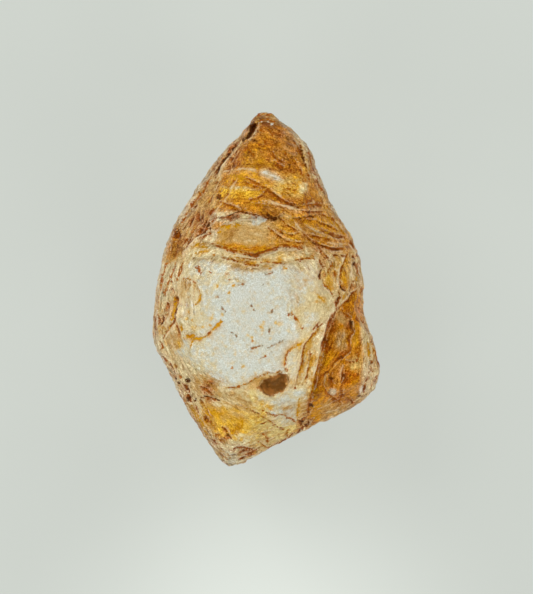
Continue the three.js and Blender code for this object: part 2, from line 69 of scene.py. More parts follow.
ZONES = (
    # the ground colours of the big regions
    ("tan", 0.55, 0.8, [
        (-3.4, 15.05), (-1.6, 14.05), (-4, 11.85), (-5.4, 6.45), (-8, 4.05), (-8.8, 2.85),
        (-10.8, 2.85), (-9.8, 6.25), (-5.1, 13.25)]),
    ("straw", 0.8, 0.8, [
        (-10.6, 2.85), (-8.4, 3.25), (-9.4, -5.45), (-11.4, -5.45), (-11.8, -0.95)]),
    ("tan", 0.5, 0.6, [
        (3.4, 15.05), (4.8, 14.85), (7.4, 8.05), (8.6, 6.45), (10, 3.85), (10.4, -0.95),
        (8.6, -0.95), (7.9, 2.85), (5.6, 7.65), (4, 11.85)]),
    ("amber", 0.85, 0.5, [
        (-1.6, 15.65), (-0.8, 16.75), (1.8, 16.65), (3.2, 15.05), (3.6, 12.45), (5, 10.25),
        (5.6, 8.65), (1.8, 7.65), (0.4, 6.85), (-2.6, 7.75), (-4.4, 7.45), (-5, 9.05),
        (-4.5, 11.05), (-3.6, 12.85)]),
    ("gold", 0.6, 0.7, [
        (-4.4, 11.25), (-2.6, 11.85), (-0.4, 11.45), (1.8, 10.45), (3.4, 10.85), (4.4, 9.45),
        (2.4, 9.05), (0.2, 9.85), (-0.8, 9.25), (-4.2, 9.05)]),
    ("gold", 0.4, 0.7, [
        (-2.6, 14.45), (-0.4, 15.05), (1.4, 14.05), (3, 12.65), (3.4, 11.25), (1.4, 11.45),
        (-0.8, 12.25), (-2.8, 12.45)]),
    ("rose", 0.75, 0.4, [
        (-5.3, 4.75), (-4.4, 6.15), (-3.2, 6.85), (-1.4, 6.95), (0.2, 6.85), (2.2, 4.65),
        (1.2, 4.05), (-1, 3.45), (-4.2, 4.15)]),
    ("amber", 0.85, 0.5, [
        (0.4, 6.85), (2.6, 7.85), (5.6, 8.05), (7.4, 6.85), (8.6, 5.05), (8.4, 3.85), (6.4, 4.05),
        (4.6, 4.65), (3, 4.65), (1.8, 5.25)]),
    ("cream", 0.75, 0.4, [
        (-8, 3.85), (-6.6, 5.05), (-5.3, 4.75), (-2.6, 3.65), (-0.9, 3.35), (0.4, 3.75),
        (2.4, 4.05), (4.6, 4.05), (5.4, 2.85), (0.2, 2.05), (-5.2, 2.85), (-7.6, 2.65)]),
    ("straw", 0.85, 0.5, [
        (2.6, 2.65), (5.2, 3.25), (6.7, 0.05), (7.4, -0.95), (7, -2.15), (5.2, -4.95), (3.8, -5.95),
        (3.3, -4.15), (2.9, -0.95), (3.4, 0.25), (3.4, 1.65)]),
    ("straw", 1, 0.4, [
        (-7.8, 2.45), (-6.2, 2.95), (-2.2, 2.15), (-0.4, 2.05), (1.8, 2.35), (3.3, 2.05),
        (3.7, 0.45), (3, -0.95), (2.8, -2.55), (3.6, -5.35), (2.6, -5.95), (2.1, -7.15), (2, -8.05),
        (-0.2, -8.15), (-2, -8.95), (-4, -9.55), (-5.2, -9.15), (-7.4, -7.15), (-8.2, -5.95),
        (-8.6, -2.75), (-8.2, -0.95)]),
    ("mist", 0.45, 0.4, [
        (-7.8, 2.45), (-6.2, 2.95), (-2.2, 2.15), (-0.4, 2.05), (1.8, 2.35), (3.3, 2.05),
        (3.7, 0.45), (3, -0.95), (2.8, -2.55), (3.6, -5.35), (2.6, -5.95), (2.1, -7.15), (2, -8.05),
        (-0.2, -8.15), (-2, -8.95), (-4, -9.55), (-5.2, -9.15), (-7.4, -7.15), (-8.2, -5.95),
        (-8.6, -2.75), (-8.2, -0.95)]),
    ("milk", 0.88, 0.4, [
        (-7.8, 2.45), (-6.2, 2.95), (-2.2, 2.15), (-0.4, 2.05), (1.8, 2.35), (3.3, 2.05),
        (3.7, 0.45), (3, -0.95), (2.8, -2.55), (3.6, -5.35), (2.6, -5.95), (2.1, -7.15), (2, -8.05),
        (-0.2, -8.15), (-2, -8.95), (-4, -9.55), (-5.2, -9.15), (-7.4, -7.15), (-8.2, -5.95),
        (-8.6, -2.75), (-8.2, -0.95)]),
    ("cream", 0.55, 0.4, [
        (-9, 2.85), (-7.4, 2.85), (-6.4, 1.45), (-6.3, -0.95), (-6.6, -2.75), (-7.4, -4.35),
        (-8.4, -4.95), (-9, -3.15), (-8.6, -0.95), (-9, 1.05)]),
    ("straw", 1, 0.4, [
        (-7.6, -5.15), (-6.6, -4.75), (-5.2, -6.15), (-5, -8.15), (-6.4, -8.15), (-8.8, -6.15)]),
    ("milk", 0.75, 0.4, [
        (-7.6, -5.15), (-6.6, -4.75), (-5.2, -6.15), (-5, -8.15), (-6.4, -8.15), (-8.8, -6.15)]),
    ("straw", 0.7, 0.5, [
        (-8.8, -6.55), (-7, -7.15), (-4, -9.75), (-1.4, -9.75), (-0.4, -10.75), (-0.4, -11.35),
        (-2.6, -10.95), (-5.2, -11.15), (-6.8, -10.95), (-9.4, -7.55)]),
    ("olive", 0.55, 0.6, [
        (-1.6, -9.55), (-0.4, -10.55), (1, -10.75), (3.2, -10.15), (3.4, -13.35), (2.2, -14.95),
        (0.4, -15.75), (-1.6, -15.35), (-2.6, -13.95), (-0.4, -12.95), (-1.6, -11.35)]),
    ("straw", 1, 0.5, [
        (-0.8, -10.15), (0.4, -10.75), (1.8, -10.35), (3.2, -9.55), (4, -9.75), (4, -10.75),
        (3.2, -11.15), (3.1, -12.95), (2, -13.35), (0.4, -12.35)]),
    ("milk", 0.55, 0.5, [
        (-0.8, -10.15), (0.4, -10.75), (1.8, -10.35), (3.2, -9.55), (4, -9.75), (4, -10.75),
        (3.2, -11.15), (3.1, -12.95), (2, -13.35), (0.4, -12.35)]),
    ("honey", 0.55, 0.6, [
        (-6.6, -11.15), (-5, -10.95), (-2.6, -11.35), (-0.4, -12.55), (-0.4, -14.55), (-2, -15.15),
        (-5, -14.55), (-6.2, -13.15)]),
    ("amber", 0.95, 0.3, [
        (7.2, -1.75), (9.2, -0.15), (9.8, -1.35), (10, -7.55), (9.4, -10.15), (8.6, -11.35),
        (7.4, -11.95), (5.6, -11.15), (6, -12.55), (4.6, -13.35), (4.3, -11.75), (5.4, -5.95),
        (6.1, -3.75)]),
    ("tan", 0.75, 0.4, [
        (9.8, -2.15), (11.6, -6.55), (11.8, -8.95), (10.4, -11.15), (8.2, -12.55), (6, -13.35),
        (5.6, -12.15), (6.4, -11.15), (7.8, -11.75), (8.8, -11.15), (9.6, -9.75), (10, -7.15),
        (9.6, -4.95)]),
    ("rose", 0.5, 0.4, [
        (8.2, 4.05), (9.6, 3.85), (10, 0.45), (9.4, 0.25), (8.4, -0.55), (7.8, 0.05), (7.6, 1.45)]),
    ("cream", 0.4, 0.3, [(8, 3.25), (9, 3.45), (9.6, 2.05), (9.6, 0.65), (8.8, 0.45)]),
    ("mist", 0.45, 0.4, [(-11.6, 2.85), (-10.6, 2.85), (-11.4, -5.75), (-12, -3.95)]),
    ("cream", 0.85, 0.3, [
        (-5.2, -14.95), (-2.2, -15.75), (-0.8, -15.85), (-0.4, -16.45), (-3.2, -17.75),
        (-4.2, -17.15), (-5.2, -15.95)]),
    ("cream", 0.6, 0.25, [
        (-4, -14.75), (-2.6, -14.35), (-1, -14.55), (-0.8, -15.35), (-2.6, -15.55),
        (-3.8, -15.35)]),
    ("tan", 0.7, 0.2, [
        (-2.6, -15.65), (-0.9, -15.85), (-1.2, -16.35), (-2, -16.55), (-2.8, -16.35)]),
    ("cream", 0.7, 0.3, [
        (4.1, -5.15), (5.2, -4.15), (5.8, -4.35), (5.3, -5.95), (5.1, -7.35), (4.8, -8.55),
        (4.3, -9.75), (3, -9.75), (2.4, -8.55), (2.1, -7.15), (2.6, -5.95)]),
    ("cream", 0.5, 0.4, [
        (-10.2, -6.15), (-8.8, -6.55), (-7.6, -8.75), (-5.2, -14.55), (-3.4, -16.15), (-3, -17.75),
        (-4.4, -17.55), (-6.2, -14.95), (-8.2, -11.35), (-9.8, -7.95)]),
    ("cream", 0.5, 0.4, [
        (-3, -15.55), (-0.4, -15.75), (2.4, -14.55), (4.2, -13.35), (4.6, -13.95), (1.6, -15.75),
        (-2.6, -17.75), (-3.4, -17.15)]),
    # the tip
    ("umber", 0.5, 0.3, [
        (-2, 15.85), (-1.4, 17.35), (-0.5, 18.05), (0.4, 17.85), (2.2, 16.25), (1, 16.25),
        (-0.4, 16.65), (-1.4, 15.65)]),
    ("tan", 0.6, 0.3, [
        (-1.4, 17.05), (-0.5, 18.05), (0.4, 17.85), (2.4, 16.05), (-0.2, 16.95), (-1.2, 16.45)]),
    ("rust", 0.4, 0.4, [
        (-1, 16.65), (0, 16.85), (1.8, 16.35), (2, 14.85), (1.4, 14.05), (-1, 14.45),
        (-1.4, 15.25)]),
    ("mist", 0.25, 0.3, [
        (1.7, 16.05), (2.8, 15.65), (3.5, 14.55), (3.4, 13.65), (2.6, 13.45), (2, 14.05),
        (1.6, 15.05)]),
    ("smoke", 0.35, 0.3, [(2, 15.45), (2.7, 15.25), (3.1, 14.45), (2.6, 14.05), (2, 14.55)]),
    ("tan", 0.7, 0.25, [
        (-3.5, 14.75), (-2.9, 14.55), (-4.3, 12.55), (-5.6, 10.95), (-6.7, 9.25), (-7.5, 8.85),
        (-7, 10.05), (-6, 11.55), (-4.8, 13.25)]),
    ("rust", 0.45, 0.3, [(-2.6, 14.05), (-1.6, 14.45), (-1.8, 13.25), (-4, 11.25), (-3.6, 12.65)]),
    ("cream", 0.55, 0.25, [(3.7, 14.45), (4.3, 14.25), (4.5, 13.05), (4, 13.25)]),
    # on the amber slope
    ("honey", 0.9, 0.2, [
        (-4.6, 10.05), (-3.4, 10.25), (-1.6, 10.15), (-0.5, 9.75), (-1.2, 9.15), (-3, 9.05),
        (-4.5, 9.15)]),
    ("straw", 0.6, 0.16, [(-4.4, 10.25), (-3, 10.35), (-1.6, 10.25), (-0.8, 9.95), (-3.8, 10.05)]),
    ("olive", 0.5, 0.4, [
        (1, 10.85), (2.4, 11.45), (3.6, 11.25), (4, 10.05), (3.4, 9.05), (1.8, 9.25),
        (0.6, 10.05)]),
    ("umber", 0.25, 0.5, [
        (-2, 17.25), (0.4, 17.85), (2.4, 16.25), (3.4, 14.05), (3, 12.05), (-0.4, 11.85),
        (-2.6, 12.45), (-3, 14.45)]),
    ("amber", 0.5, 0.3, [
        (-1.8, 15.25), (-0.4, 15.65), (1, 15.25), (1.8, 14.45), (0.6, 13.85), (-1, 13.85),
        (-2, 14.25)]),
    ("umber", 0.4, 0.25, [
        (2, 8.75), (3.4, 8.45), (4.8, 8.65), (5.6, 8.45), (4.6, 8.05), (3.2, 7.95), (2, 8.25)]),
    ("umber", 0.6, 0.15, [(-0.4, 8.25), (0.4, 8.45), (1, 8.05), (0.8, 7.65), (0, 7.75)]),
    ("rust", 0.3, 0.3, [
        (-4.2, 8.85), (-2.6, 8.45), (-0.8, 8.65), (1, 8.45), (1.6, 7.85), (0.4, 7.05), (-2.6, 7.85),
        (-3.8, 7.45), (-4.7, 7.85)]),
    ("umber", 0.45, 0.3, [
        (-0.2, 8.45), (1.4, 8.25), (2, 7.65), (1, 6.85), (-0.2, 7.05), (-1, 7.65)]),
    ("rust", 0.65, 0.3, [
        (1.6, 9.35), (3, 9.05), (4.6, 9.25), (5.8, 9.05), (5.8, 8.35), (4, 7.95), (1.4, 8.85)]),
    ("umber", 0.55, 0.2, [(2.8, 8.75), (5.4, 8.85), (5.2, 8.35), (3.8, 8.15), (3, 8.35)]),
    ("cream", 0.7, 0.2, [(3.3, 10.65), (4.2, 10.65), (4.2, 9.75), (3.4, 9.75)]),
    ("gold", 0.55, 0.3, [(1.8, 10.65), (3.2, 11.25), (3.6, 10.25), (3, 9.25), (1.8, 9.45)]),
    ("rust", 0.45, 0.3, [
        (-0.4, 13.85), (1, 13.65), (2.4, 12.85), (3, 11.65), (1.8, 11.85), (0.4, 12.85)]),
    ("gold", 0.45, 0.4, [(-2.2, 13.05), (-0.4, 13.05), (1, 12.25), (-0.4, 12.05), (-2, 12.25)]),
    ("cream", 0.6, 0.2, [(-0.4, 11.95), (0.6, 11.65), (1.8, 11.05), (1.8, 10.55), (-0.6, 11.45)]),
    # the lens, the fan and the bands
    # painted highlight: a white patch at the step down from the amber slope to the lens
    ("milk", 0.9, 0.12, [
        (-1.6, 7.35), (-1, 7.45), (0.1, 7), (-0.8, 6.4), (-1.3, 6.6), (-1.7, 7.05)]),
    ("straw", 0.8, 0.12, [(-3, 7.8), (-1.6, 7.25), (-1.8, 7.05), (-3.2, 7.55)]),
    ("straw", 0.7, 0.12, [
        (-4.4, 7.05), (-3, 7.1), (-1.9, 6.95), (-1.3, 6.55), (-1.8, 6.45), (-2.8, 6.75),
        (-4.2, 6.75)]),
    ("tan", 0.55, 0.3, [
        (-5.2, 4.85), (-4.4, 6.05), (-3, 6.65), (-3, 5.65), (-3.8, 4.65), (-4.4, 4.35)]),
    ("amber", 0.9, 0.2, [
        (-4.4, 4.35), (-3, 4.65), (-1.4, 4.35), (-0.2, 4.65), (0.6, 4.05), (-0.4, 3.75),
        (-1.6, 3.55), (-3, 3.75)]),
    ("tan", 0.7, 0.3, [(1.3, 7.25), (2.7, 7.25), (3, 6.15), (2, 6.25)]),
    ("cream", 0.6, 0.15, [(1.3, 7.65), (2.5, 7.55), (2.4, 7.15), (1.5, 7.15)]),
    ("gold", 0.85, 0.4, [(3, 7.25), (6.8, 6.85), (7.9, 5.95), (7.8, 5.45), (4.6, 6.25)]),
    ("rust", 0.4, 0.25, [
        (4.6, 5.05), (5.6, 4.65), (8, 4.45), (8.4, 4.05), (6.4, 3.85), (5.2, 4.25)]),
    ("umber", 0.55, 0.2, [
        (4.5, 5.25), (6.4, 4.35), (8, 4.45), (8.2, 4.15), (6.4, 4.05), (5.4, 4.25), (4.6, 4.75)]),
    ("umber", 0.45, 0.2, [
        (5, 6.35), (7, 5.65), (7.9, 5.55), (7.9, 5.35), (6.8, 5.45), (5.8, 5.85)]),
    ("tan", 0.6, 0.15, [
        (3.8, 6.45), (6.4, 5.25), (8, 4.95), (8, 5.15), (6.4, 5.55), (5, 6.15), (4, 6.75)]),
    ("rust", 0.7, 0.2, [
        (-5, 4.75), (-3.8, 4.15), (-2.3, 3.65), (-1.1, 3.55), (1.4, 4.35), (2.4, 4.45), (2.4, 4.75),
        (1, 4.65), (-0.4, 4.15), (-1.6, 4.05)]),
    ("umber", 0.5, 0.12, [(-4, 4.2), (-2.3, 3.65), (-1.1, 3.5), (1, 4.25), (-1.6, 3.85)]),
    ("gold", 0.85, 0.25, [
        (3.3, 7.05), (5.2, 7.15), (6.6, 6.45), (7.6, 5.55), (6.4, 5.75), (3.7, 6.55)]),
    ("honey", 0.6, 0.2, [
        (1.2, 6.65), (2.4, 6.05), (3.2, 5.25), (4.2, 4.95), (3, 4.85), (2, 5.25), (1.2, 5.95)]),
    ("cream", 0.95, 0.15, [
        (-5.1, 7.75), (-3, 7.95), (-1.6, 7.55), (-1.6, 7.15), (-2.6, 6.95), (-4.4, 6.85),
        (-5.3, 7.15)]),
    ("rust", 0.3, 0.3, [(5.2, 6.05), (6.8, 5.45), (8, 5.45), (8, 4.85), (6.2, 5.05)]),
    ("cream", 0.75, 0.2, [
        (-0.4, 3.55), (1, 3.85), (4.6, 3.95), (5, 3.35), (1, 2.85), (-0.4, 3.05)]),
    ("honey", 0.5, 0.2, [(1.1, 3.85), (2.7, 3.85), (2.7, 3.35), (1.3, 3.35)]),
    ("smoke", 0.45, 0.2, [
        (-3.7, 2.6), (-3, 2.65), (-2.2, 2.45), (-1.4, 2.1), (-2, 1.95), (-2.8, 2.05),
        (-3.5, 2.25)]),
    ("rose", 0.5, 0.3, [
        (-4, 2.75), (-2.4, 2.65), (-0.8, 2.15), (-1.4, 1.75), (-2.8, 1.85), (-3.8, 2.15)]),
    ("tan", 0.55, 0.3, [(3, 6.05), (4.2, 5.05), (5.2, 3.85), (2.6, 4.85)]),
    ("gold", 0.85, 0.25, [(7.4, 1.65), (8, 2.05), (8.1, 0.85), (7.8, 0.05), (7.3, 0.45)]),
    ("gold", 0.7, 0.2, [(5.3, 2.05), (5.8, 2.05), (5.8, 1.15), (5.4, 1.05)]),
    ("rose", 0.8, 0.15, [(8, 3.25), (8.4, 3.45), (8.4, 1.65), (8.1, 1.25)]),
    ("honey", 0.55, 0.3, [(5.6, 2.25), (6.2, 1.85), (6.6, 0.65), (6, 0.65), (5.5, 1.25)]),
    # on the pale face
    ("straw", 0.5, 0.6, [
        (2.2, 2.05), (3.2, 1.85), (3.6, -0.95), (3.7, -4.95), (3, -4.95), (2.4, -2.15)]),
    ("milk", 0.5, 0.5, [(3.3, 0.65), (4.4, 2.05), (4.8, 1.05), (3.6, -1.55), (3.1, -1.35)]),
    ("mist", 0.4, 0.4, [(3.6, 2.85), (5, 3.05), (6.2, -0.15), (5.2, -0.55), (4.4, 1.45)]),
    ("straw", 0.35, 0.6, [
        (-8.2, 2.85), (-6, 2.85), (-5.2, 0.05), (-6, -4.95), (-5.2, -8.15), (-6.6, -8.15),
        (-8.2, -5.95), (-8.6, -1.95)]),
    ("cream", 0.4, 0.5, [(-7, 2.65), (-3.6, 2.25), (-2.6, 1.05), (-4.4, 0.05), (-6.2, 0.65)]),
    ("tan", 0.5, 0.3, [
        (-8.6, 0.95), (-7.6, 1.15), (-6.9, 0.65), (-6.7, -0.15), (-7, -0.95), (-7.6, -1.25),
        (-8.4, -0.75), (-8.7, 0.05)]),
    ("straw", 0.5, 0.4, [
        (-8.2, -1.95), (-6.6, -1.55), (-6, -2.75), (-6.2, -4.35), (-7.6, -4.75), (-8.2, -3.75)]),
    ("mist", 0.5, 0.6, [
        (2, 2.45), (3.2, 2.25), (3.4, 1.45), (3.1, -0.95), (2.3, -1.15), (1.9, 0.45)]),
    ("tan", 0.4, 0.3, [
        (2.8, 2.05), (4.2, 2.25), (4.3, 1.25), (3.6, 0.05), (3.2, -1.35), (2.8, -1.15),
        (3.2, 0.45)]),
    ("tan", 0.6, 0.25, [(-8.2, 0.95), (-7.5, 1.05), (-7.2, 0.45), (-7.8, 0.15), (-8.3, 0.35)]),
    ("cream", 0.5, 0.4, [(-8.2, -0.15), (-7, 0.45), (-6.6, -0.55), (-7, -1.55), (-8, -1.35)]),
    ("honey", 0.5, 0.15, [(-5.7, -2.55), (-5.1, -2.45), (-5, -3.05), (-5.5, -3.15)]),
    ("honey", 0.5, 0.15, [(-6, -3.25), (-5.3, -3.15), (-5.4, -3.75), (-5.9, -3.65)]),
    ("gold", 0.55, 0.15, [
        (-6.2, -4.65), (-5.8, -4.15), (-5.5, -3.55), (-5.1, -3.65), (-5.3, -4.15), (-5.8, -4.65)]),
    ("honey", 0.5, 0.2, [(-7.4, -3.45), (-6.8, -3.45), (-6.8, -3.85), (-7.3, -3.85)]),
    ("honey", 0.7, 0.15, [(-0.7, -3.65), (-0.2, -3.15), (-0.1, -3.65), (-0.4, -4.05)]),
    ("honey", 0.7, 0.13, [(1, -3.25), (1.7, -3.05), (1.8, -3.45), (1.2, -3.55)]),
    ("honey", 0.6, 0.2, [(5, -0.45), (5.4, -0.55), (6.1, -1.15), (5.7, -1.35)]),
    ("milk", 0.8, 0.2, [(3, 1.95), (3.7, 1.95), (3.9, 1.35), (3.4, 1.05), (3, 1.35)]),
    ("milk", 0.6, 0.2, [
        (2.3, -6.15), (3.1, -5.75), (3.7, -5.95), (3.5, -7.55), (3.2, -8.95), (2.6, -8.95),
        (2.2, -7.55)]),
    ("straw", 0.6, 0.5, [
        (3.8, -0.95), (5.4, -0.55), (6.4, -1.55), (5.4, -3.35), (4.2, -4.35), (3.6, -2.75)]),
    # the left flank
    ("tan", 0.8, 0.4, [
        (-9.8, 5.45), (-8.6, 6.25), (-8, 5.05), (-8.1, 3.85), (-8.8, 2.85), (-10.2, 2.85),
        (-10.2, 4.25)]),
    ("amber", 0.6, 0.3, [
        (-9.6, 5.45), (-8.8, 5.85), (-8.4, 4.85), (-8.4, 3.85), (-9, 3.15), (-9.8, 3.15),
        (-9.9, 4.45)]),
    ("umber", 0.5, 0.25, [(-9.2, 5.45), (-8.5, 5.25), (-8.4, 3.85), (-9.2, 3.25), (-9.7, 3.85)]),
    ("rust", 0.5, 0.3, [(-9.6, 6.05), (-9, 6.25), (-8.8, 5.45), (-9.4, 5.05)]),
    ("rose", 0.45, 0.4, [(-7, 11.25), (-5, 11.85), (-4.8, 9.05), (-6.2, 7.25), (-7.6, 7.65)]),
    ("rust", 0.3, 0.4, [(-7, 7.65), (-5.4, 7.85), (-5.4, 5.85), (-7.6, 4.45)]),
    ("tan", 0.6, 0.3, [
        (-10.2, -4.55), (-9.1, -4.35), (-8.2, -4.95), (-8.5, -5.75), (-9.6, -5.65),
        (-10.2, -5.15)]),
    ("honey", 0.5, 0.2, [(-9, -3.25), (-8.4, -3.35), (-8.4, -4.75), (-8.9, -4.35)]),
    ("gold", 0.7, 0.15, [(-9.4, -7.25), (-8.8, -7.35), (-8.8, -7.75), (-9.3, -7.65)]),
    ("tan", 0.5, 0.4, [
        (-11.4, -1.45), (-10.6, -0.95), (-10.2, -3.15), (-10.6, -4.75), (-11.4, -4.45)]),
    # the foot
    ("smoke", 0.5, 0.4, [(-6.1, -8.65), (-5, -8.65), (-4.3, -9.35), (-4.6, -9.95), (-6.4, -9.55)]),
    ("umber", 0.3, 0.3, [(-6.1, -8.95), (-5, -8.75), (-4.4, -9.55), (-5, -10.15), (-6, -9.95)]),
    ("tan", 0.6, 0.5, [
        (-7, -8.75), (-5.6, -8.15), (-4, -9.15), (-3.8, -10.15), (-6.8, -10.75), (-7.4, -9.75)]),
    ("rose", 0.6, 0.3, [
        (-4, -9.95), (-2.4, -9.95), (-1.8, -10.55), (-2.6, -11.05), (-3.8, -10.65)]),
    ("tan", 0.55, 0.3, [
        (-2.9, -10.85), (-1.5, -11.05), (-1.2, -11.75), (-2.2, -11.75), (-2.8, -11.45)]),
    ("gold", 0.85, 0.3, [
        (-6.5, -11.95), (-5.4, -11.65), (-4, -12.05), (-4, -12.55), (-5.2, -12.95), (-4.4, -13.75),
        (-5.2, -14.15), (-6.4, -12.65)]),
    ("gold", 0.8, 0.25, [
        (-3, -12.55), (-2.4, -12.55), (-2.3, -13.65), (-3.4, -14.25), (-4, -13.95), (-3.8, -13.45),
        (-3, -13.25)]),
    ("tan", 0.55, 0.3, [
        (-6.4, -10.75), (-4.4, -10.95), (-2.6, -11.35), (-2, -11.95), (-6, -11.55)]),
    ("honey", 0.6, 0.3, [(-5.4, -12.95), (-3, -12.95), (-3.4, -13.75), (-4.6, -13.95)]),
    ("honey", 0.75, 0.2, [
        (-0.7, -11.15), (0, -10.95), (0.7, -11.35), (0.6, -11.85), (-0.3, -11.75)]),
    ("amber", 0.6, 0.15, [(0.2, -11.45), (0.7, -11.45), (0.6, -11.85), (0.2, -11.85)]),
    ("smoke", 0.35, 0.3, [(1.3, -11.15), (3, -11.05), (3.2, -11.75), (2.2, -12.15), (1.5, -11.65)]),
    ("honey", 0.6, 0.2, [(3.2, -10.75), (3.6, -10.75), (3.6, -13.35), (3.1, -13.35)]),
    ("tan", 0.5, 0.3, [(3.6, -10.75), (4.3, -10.95), (4.3, -12.95), (3.6, -12.95)]),
    ("rose", 0.5, 0.3, [
        (-0.8, -14.15), (0, -14.15), (0.4, -14.95), (-0.2, -15.55), (-0.9, -14.95)]),
    ("mist", 0.7, 0.3, [
        (-4.5, -15.85), (-3.4, -16.05), (-2.6, -16.65), (-3.4, -17.65), (-4.1, -17.05)]),
    ("tan", 0.6, 0.3, [
        (-2.8, -16.15), (-0.9, -15.85), (-0.8, -16.45), (-2.2, -16.95), (-2.9, -16.75)]),
    # the lobe
    ("amber", 0.8, 0.3, [
        (6.2, -3.45), (6.8, -3.75), (6.7, -5.45), (7.2, -6.15), (6.4, -6.75), (5.6, -6.15),
        (5.8, -4.75)]),
    ("tan", 0.9, 0.2, [
        (7, -4.05), (7.7, -3.75), (8.2, -4.35), (8.2, -5.45), (7.7, -6.35), (6.8, -5.95)]),
    ("umber", 0.75, 0.15, [
        (8.1, -2.25), (8.5, -2.65), (8.7, -3.25), (8.8, -4.05), (8.5, -4.35), (8.2, -3.15),
        (7.9, -2.55)]),
    ("rust", 0.7, 0.2, [
        (8.3, -4.25), (8.5, -4.65), (8.4, -5.65), (8.1, -6.15), (6.7, -7.25), (6.4, -7.75),
        (6.2, -7.35), (7.6, -6.05), (8.1, -5.45), (8.1, -4.65)]),
    ("rust", 0.6, 0.2, [
        (7.8, -0.95), (8.5, -1.25), (8.7, -2.15), (8.6, -2.55), (8, -2.05), (7.6, -1.55)]),
    ("rose", 0.9, 0.2, [(7.2, -2.05), (7.8, -2.25), (8.3, -2.95), (8.1, -3.55), (6.9, -2.95)]),
    ("mist", 0.35, 0.25, [(7.1, -4.45), (7.7, -4.05), (8.1, -4.65), (7.9, -5.65), (7.4, -5.95)]),
    ("rust", 0.6, 0.25, [(5.6, -4.75), (6.2, -4.75), (6.2, -5.95), (5.8, -6.35), (5.4, -5.95)]),
    ("umber", 0.6, 0.15, [(5.6, -5.05), (6.1, -5.05), (6, -5.55), (5.5, -5.65)]),
    ("rust", 0.7, 0.25, [(6.4, -2.95), (6.9, -3.05), (6.9, -3.95), (6.1, -4.35)]),
    ("tan", 0.85, 0.3, [
        (8.3, -6.55), (9.4, -6.15), (9.7, -7.15), (9.4, -8.15), (8.4, -7.95), (8, -7.15)]),
    ("olive", 0.4, 0.25, [(8.4, -6.75), (9.3, -6.65), (9.4, -7.65), (8.5, -7.75)]),
    ("gold", 0.55, 0.3, [(6.1, -6.15), (6.9, -6.35), (6.4, -7.55), (5.5, -7.75), (5.5, -6.75)]),
    ("gold", 0.6, 0.3, [(8.7, -3.35), (9.6, -3.55), (9.7, -5.35), (8.9, -5.55), (8.6, -4.75)]),
    ("gold", 0.5, 0.3, [(7.9, -0.55), (9.1, -0.25), (9.3, -1.45), (8.6, -2.15), (7.9, -1.55)]),
    ("rust", 0.75, 0.25, [(7.4, -8.05), (9, -8.35), (8.8, -8.95), (8.1, -9.15), (7.5, -9.75)]),
    ("umber", 0.55, 0.15, [(7.5, -8.25), (8, -8.35), (8, -8.95), (7.6, -9.15)]),
    ("umber", 0.5, 0.2, [
        (7.4, -10.05), (7.9, -9.95), (8.1, -10.55), (8.8, -10.95), (8.5, -11.35), (7.7, -11.05),
        (7.3, -10.65)]),
    ("gold", 0.55, 0.3, [(8.4, -8.55), (9.4, -8.75), (9.3, -10.55), (8.4, -10.75)]),
    ("umber", 0.85, 0.25, [(4.6, -9.15), (5.3, -9.35), (5.5, -10.35), (5, -10.95), (4.5, -10.75)]),
    ("rust", 0.8, 0.2, [(4.4, -10.75), (5, -10.95), (5.1, -12.15), (4.4, -12.95)]),
    ("rust", 0.6, 0.2, [(5, -7.35), (5.5, -7.15), (5.5, -8.55), (5.2, -9.55), (4.7, -9.35)]),
    ("gold", 0.8, 0.25, [
        (4.4, -11.25), (5.4, -11.15), (5.9, -11.75), (5.5, -12.55), (4.7, -13.05), (4.3, -12.45)]),
    ("gold", 0.5, 0.25, [(4.6, -9.75), (5.8, -9.55), (6.2, -10.35), (5.6, -11.15), (4.8, -10.95)]),
    ("mist", 0.75, 0.12, [
        (6.4, -9.85), (6.7, -9.65), (7.1, -9.85), (7.1, -10.35), (6.7, -10.55), (6.4, -10.35)]),
    ("tan", 0.8, 0.25, [(5.6, -11.15), (6.4, -10.75), (8.6, -11.55), (7.8, -12.15), (5.2, -13.15)]),
    ("tan", 0.7, 0.15, [
        (5.7, -8.25), (6.4, -8.45), (6.3, -9.35), (6.5, -10.15), (5.9, -9.65), (5.6, -9.15)]),
    ("cream", 0.8, 0.3, [
        (9.5, -3.15), (10, -3.75), (10.6, -5.15), (11, -6.55), (11.2, -8.15), (11, -9.75),
        (9.5, -10.95), (9.4, -9.55), (9.7, -6.75)]),
    ("cream", 0.8, 0.2, [
        (4.7, -3.95), (5.6, -3.15), (6.1, -3.15), (5.4, -4.95), (4.8, -8.35), (4.3, -9.55),
        (4, -9.55), (4.6, -5.95)]),
    ("mist", 0.5, 0.4, [
        (-5.2, 13.05), (-4.4, 12.45), (-6.2, 9.85), (-7.4, 7.65), (-8.4, 6.85), (-8.8, 7.65),
        (-7.8, 9.45)]),
    ("umber", 0.25, 0.4, [
        (-5.2, 13.25), (-4.2, 12.65), (-6, 10.05), (-7.2, 7.85), (-8.4, 6.85), (-8.8, 7.65),
        (-6.8, 11.05)]),
    ("mist", 0.35, 0.4, [
        (-10.6, 2.45), (-8.8, 2.85), (-9, 0.85), (-10.2, -0.95), (-11.2, -1.35), (-11.4, 0.05)]),
    ("cream", 0.45, 0.4, [
        (-10.6, 2.45), (-8, 2.85), (-8.8, 0.85), (-10.2, -0.95), (-11.2, -1.35), (-11.4, 0.05)]),
    ("honey", 0.6, 0.2, [(3.4, -4.95), (4.4, -4.55), (4.6, -5.55), (4, -6.35), (3.3, -5.95)]),
    ("straw", 0.8, 0.2, [(3, -5.95), (3.9, -5.95), (3.7, -9.35), (3, -9.35)]),
    ("straw", 0.8, 0.3, [
        (-4.8, -9.35), (-1.4, -8.65), (-1.8, -9.75), (-3.4, -10.15), (-4.6, -10.15)]),
    ("milk", 0.35, 0.3, [(-4.6, -9.35), (-1.4, -8.65), (-2, -9.55), (-3.6, -9.95)]),
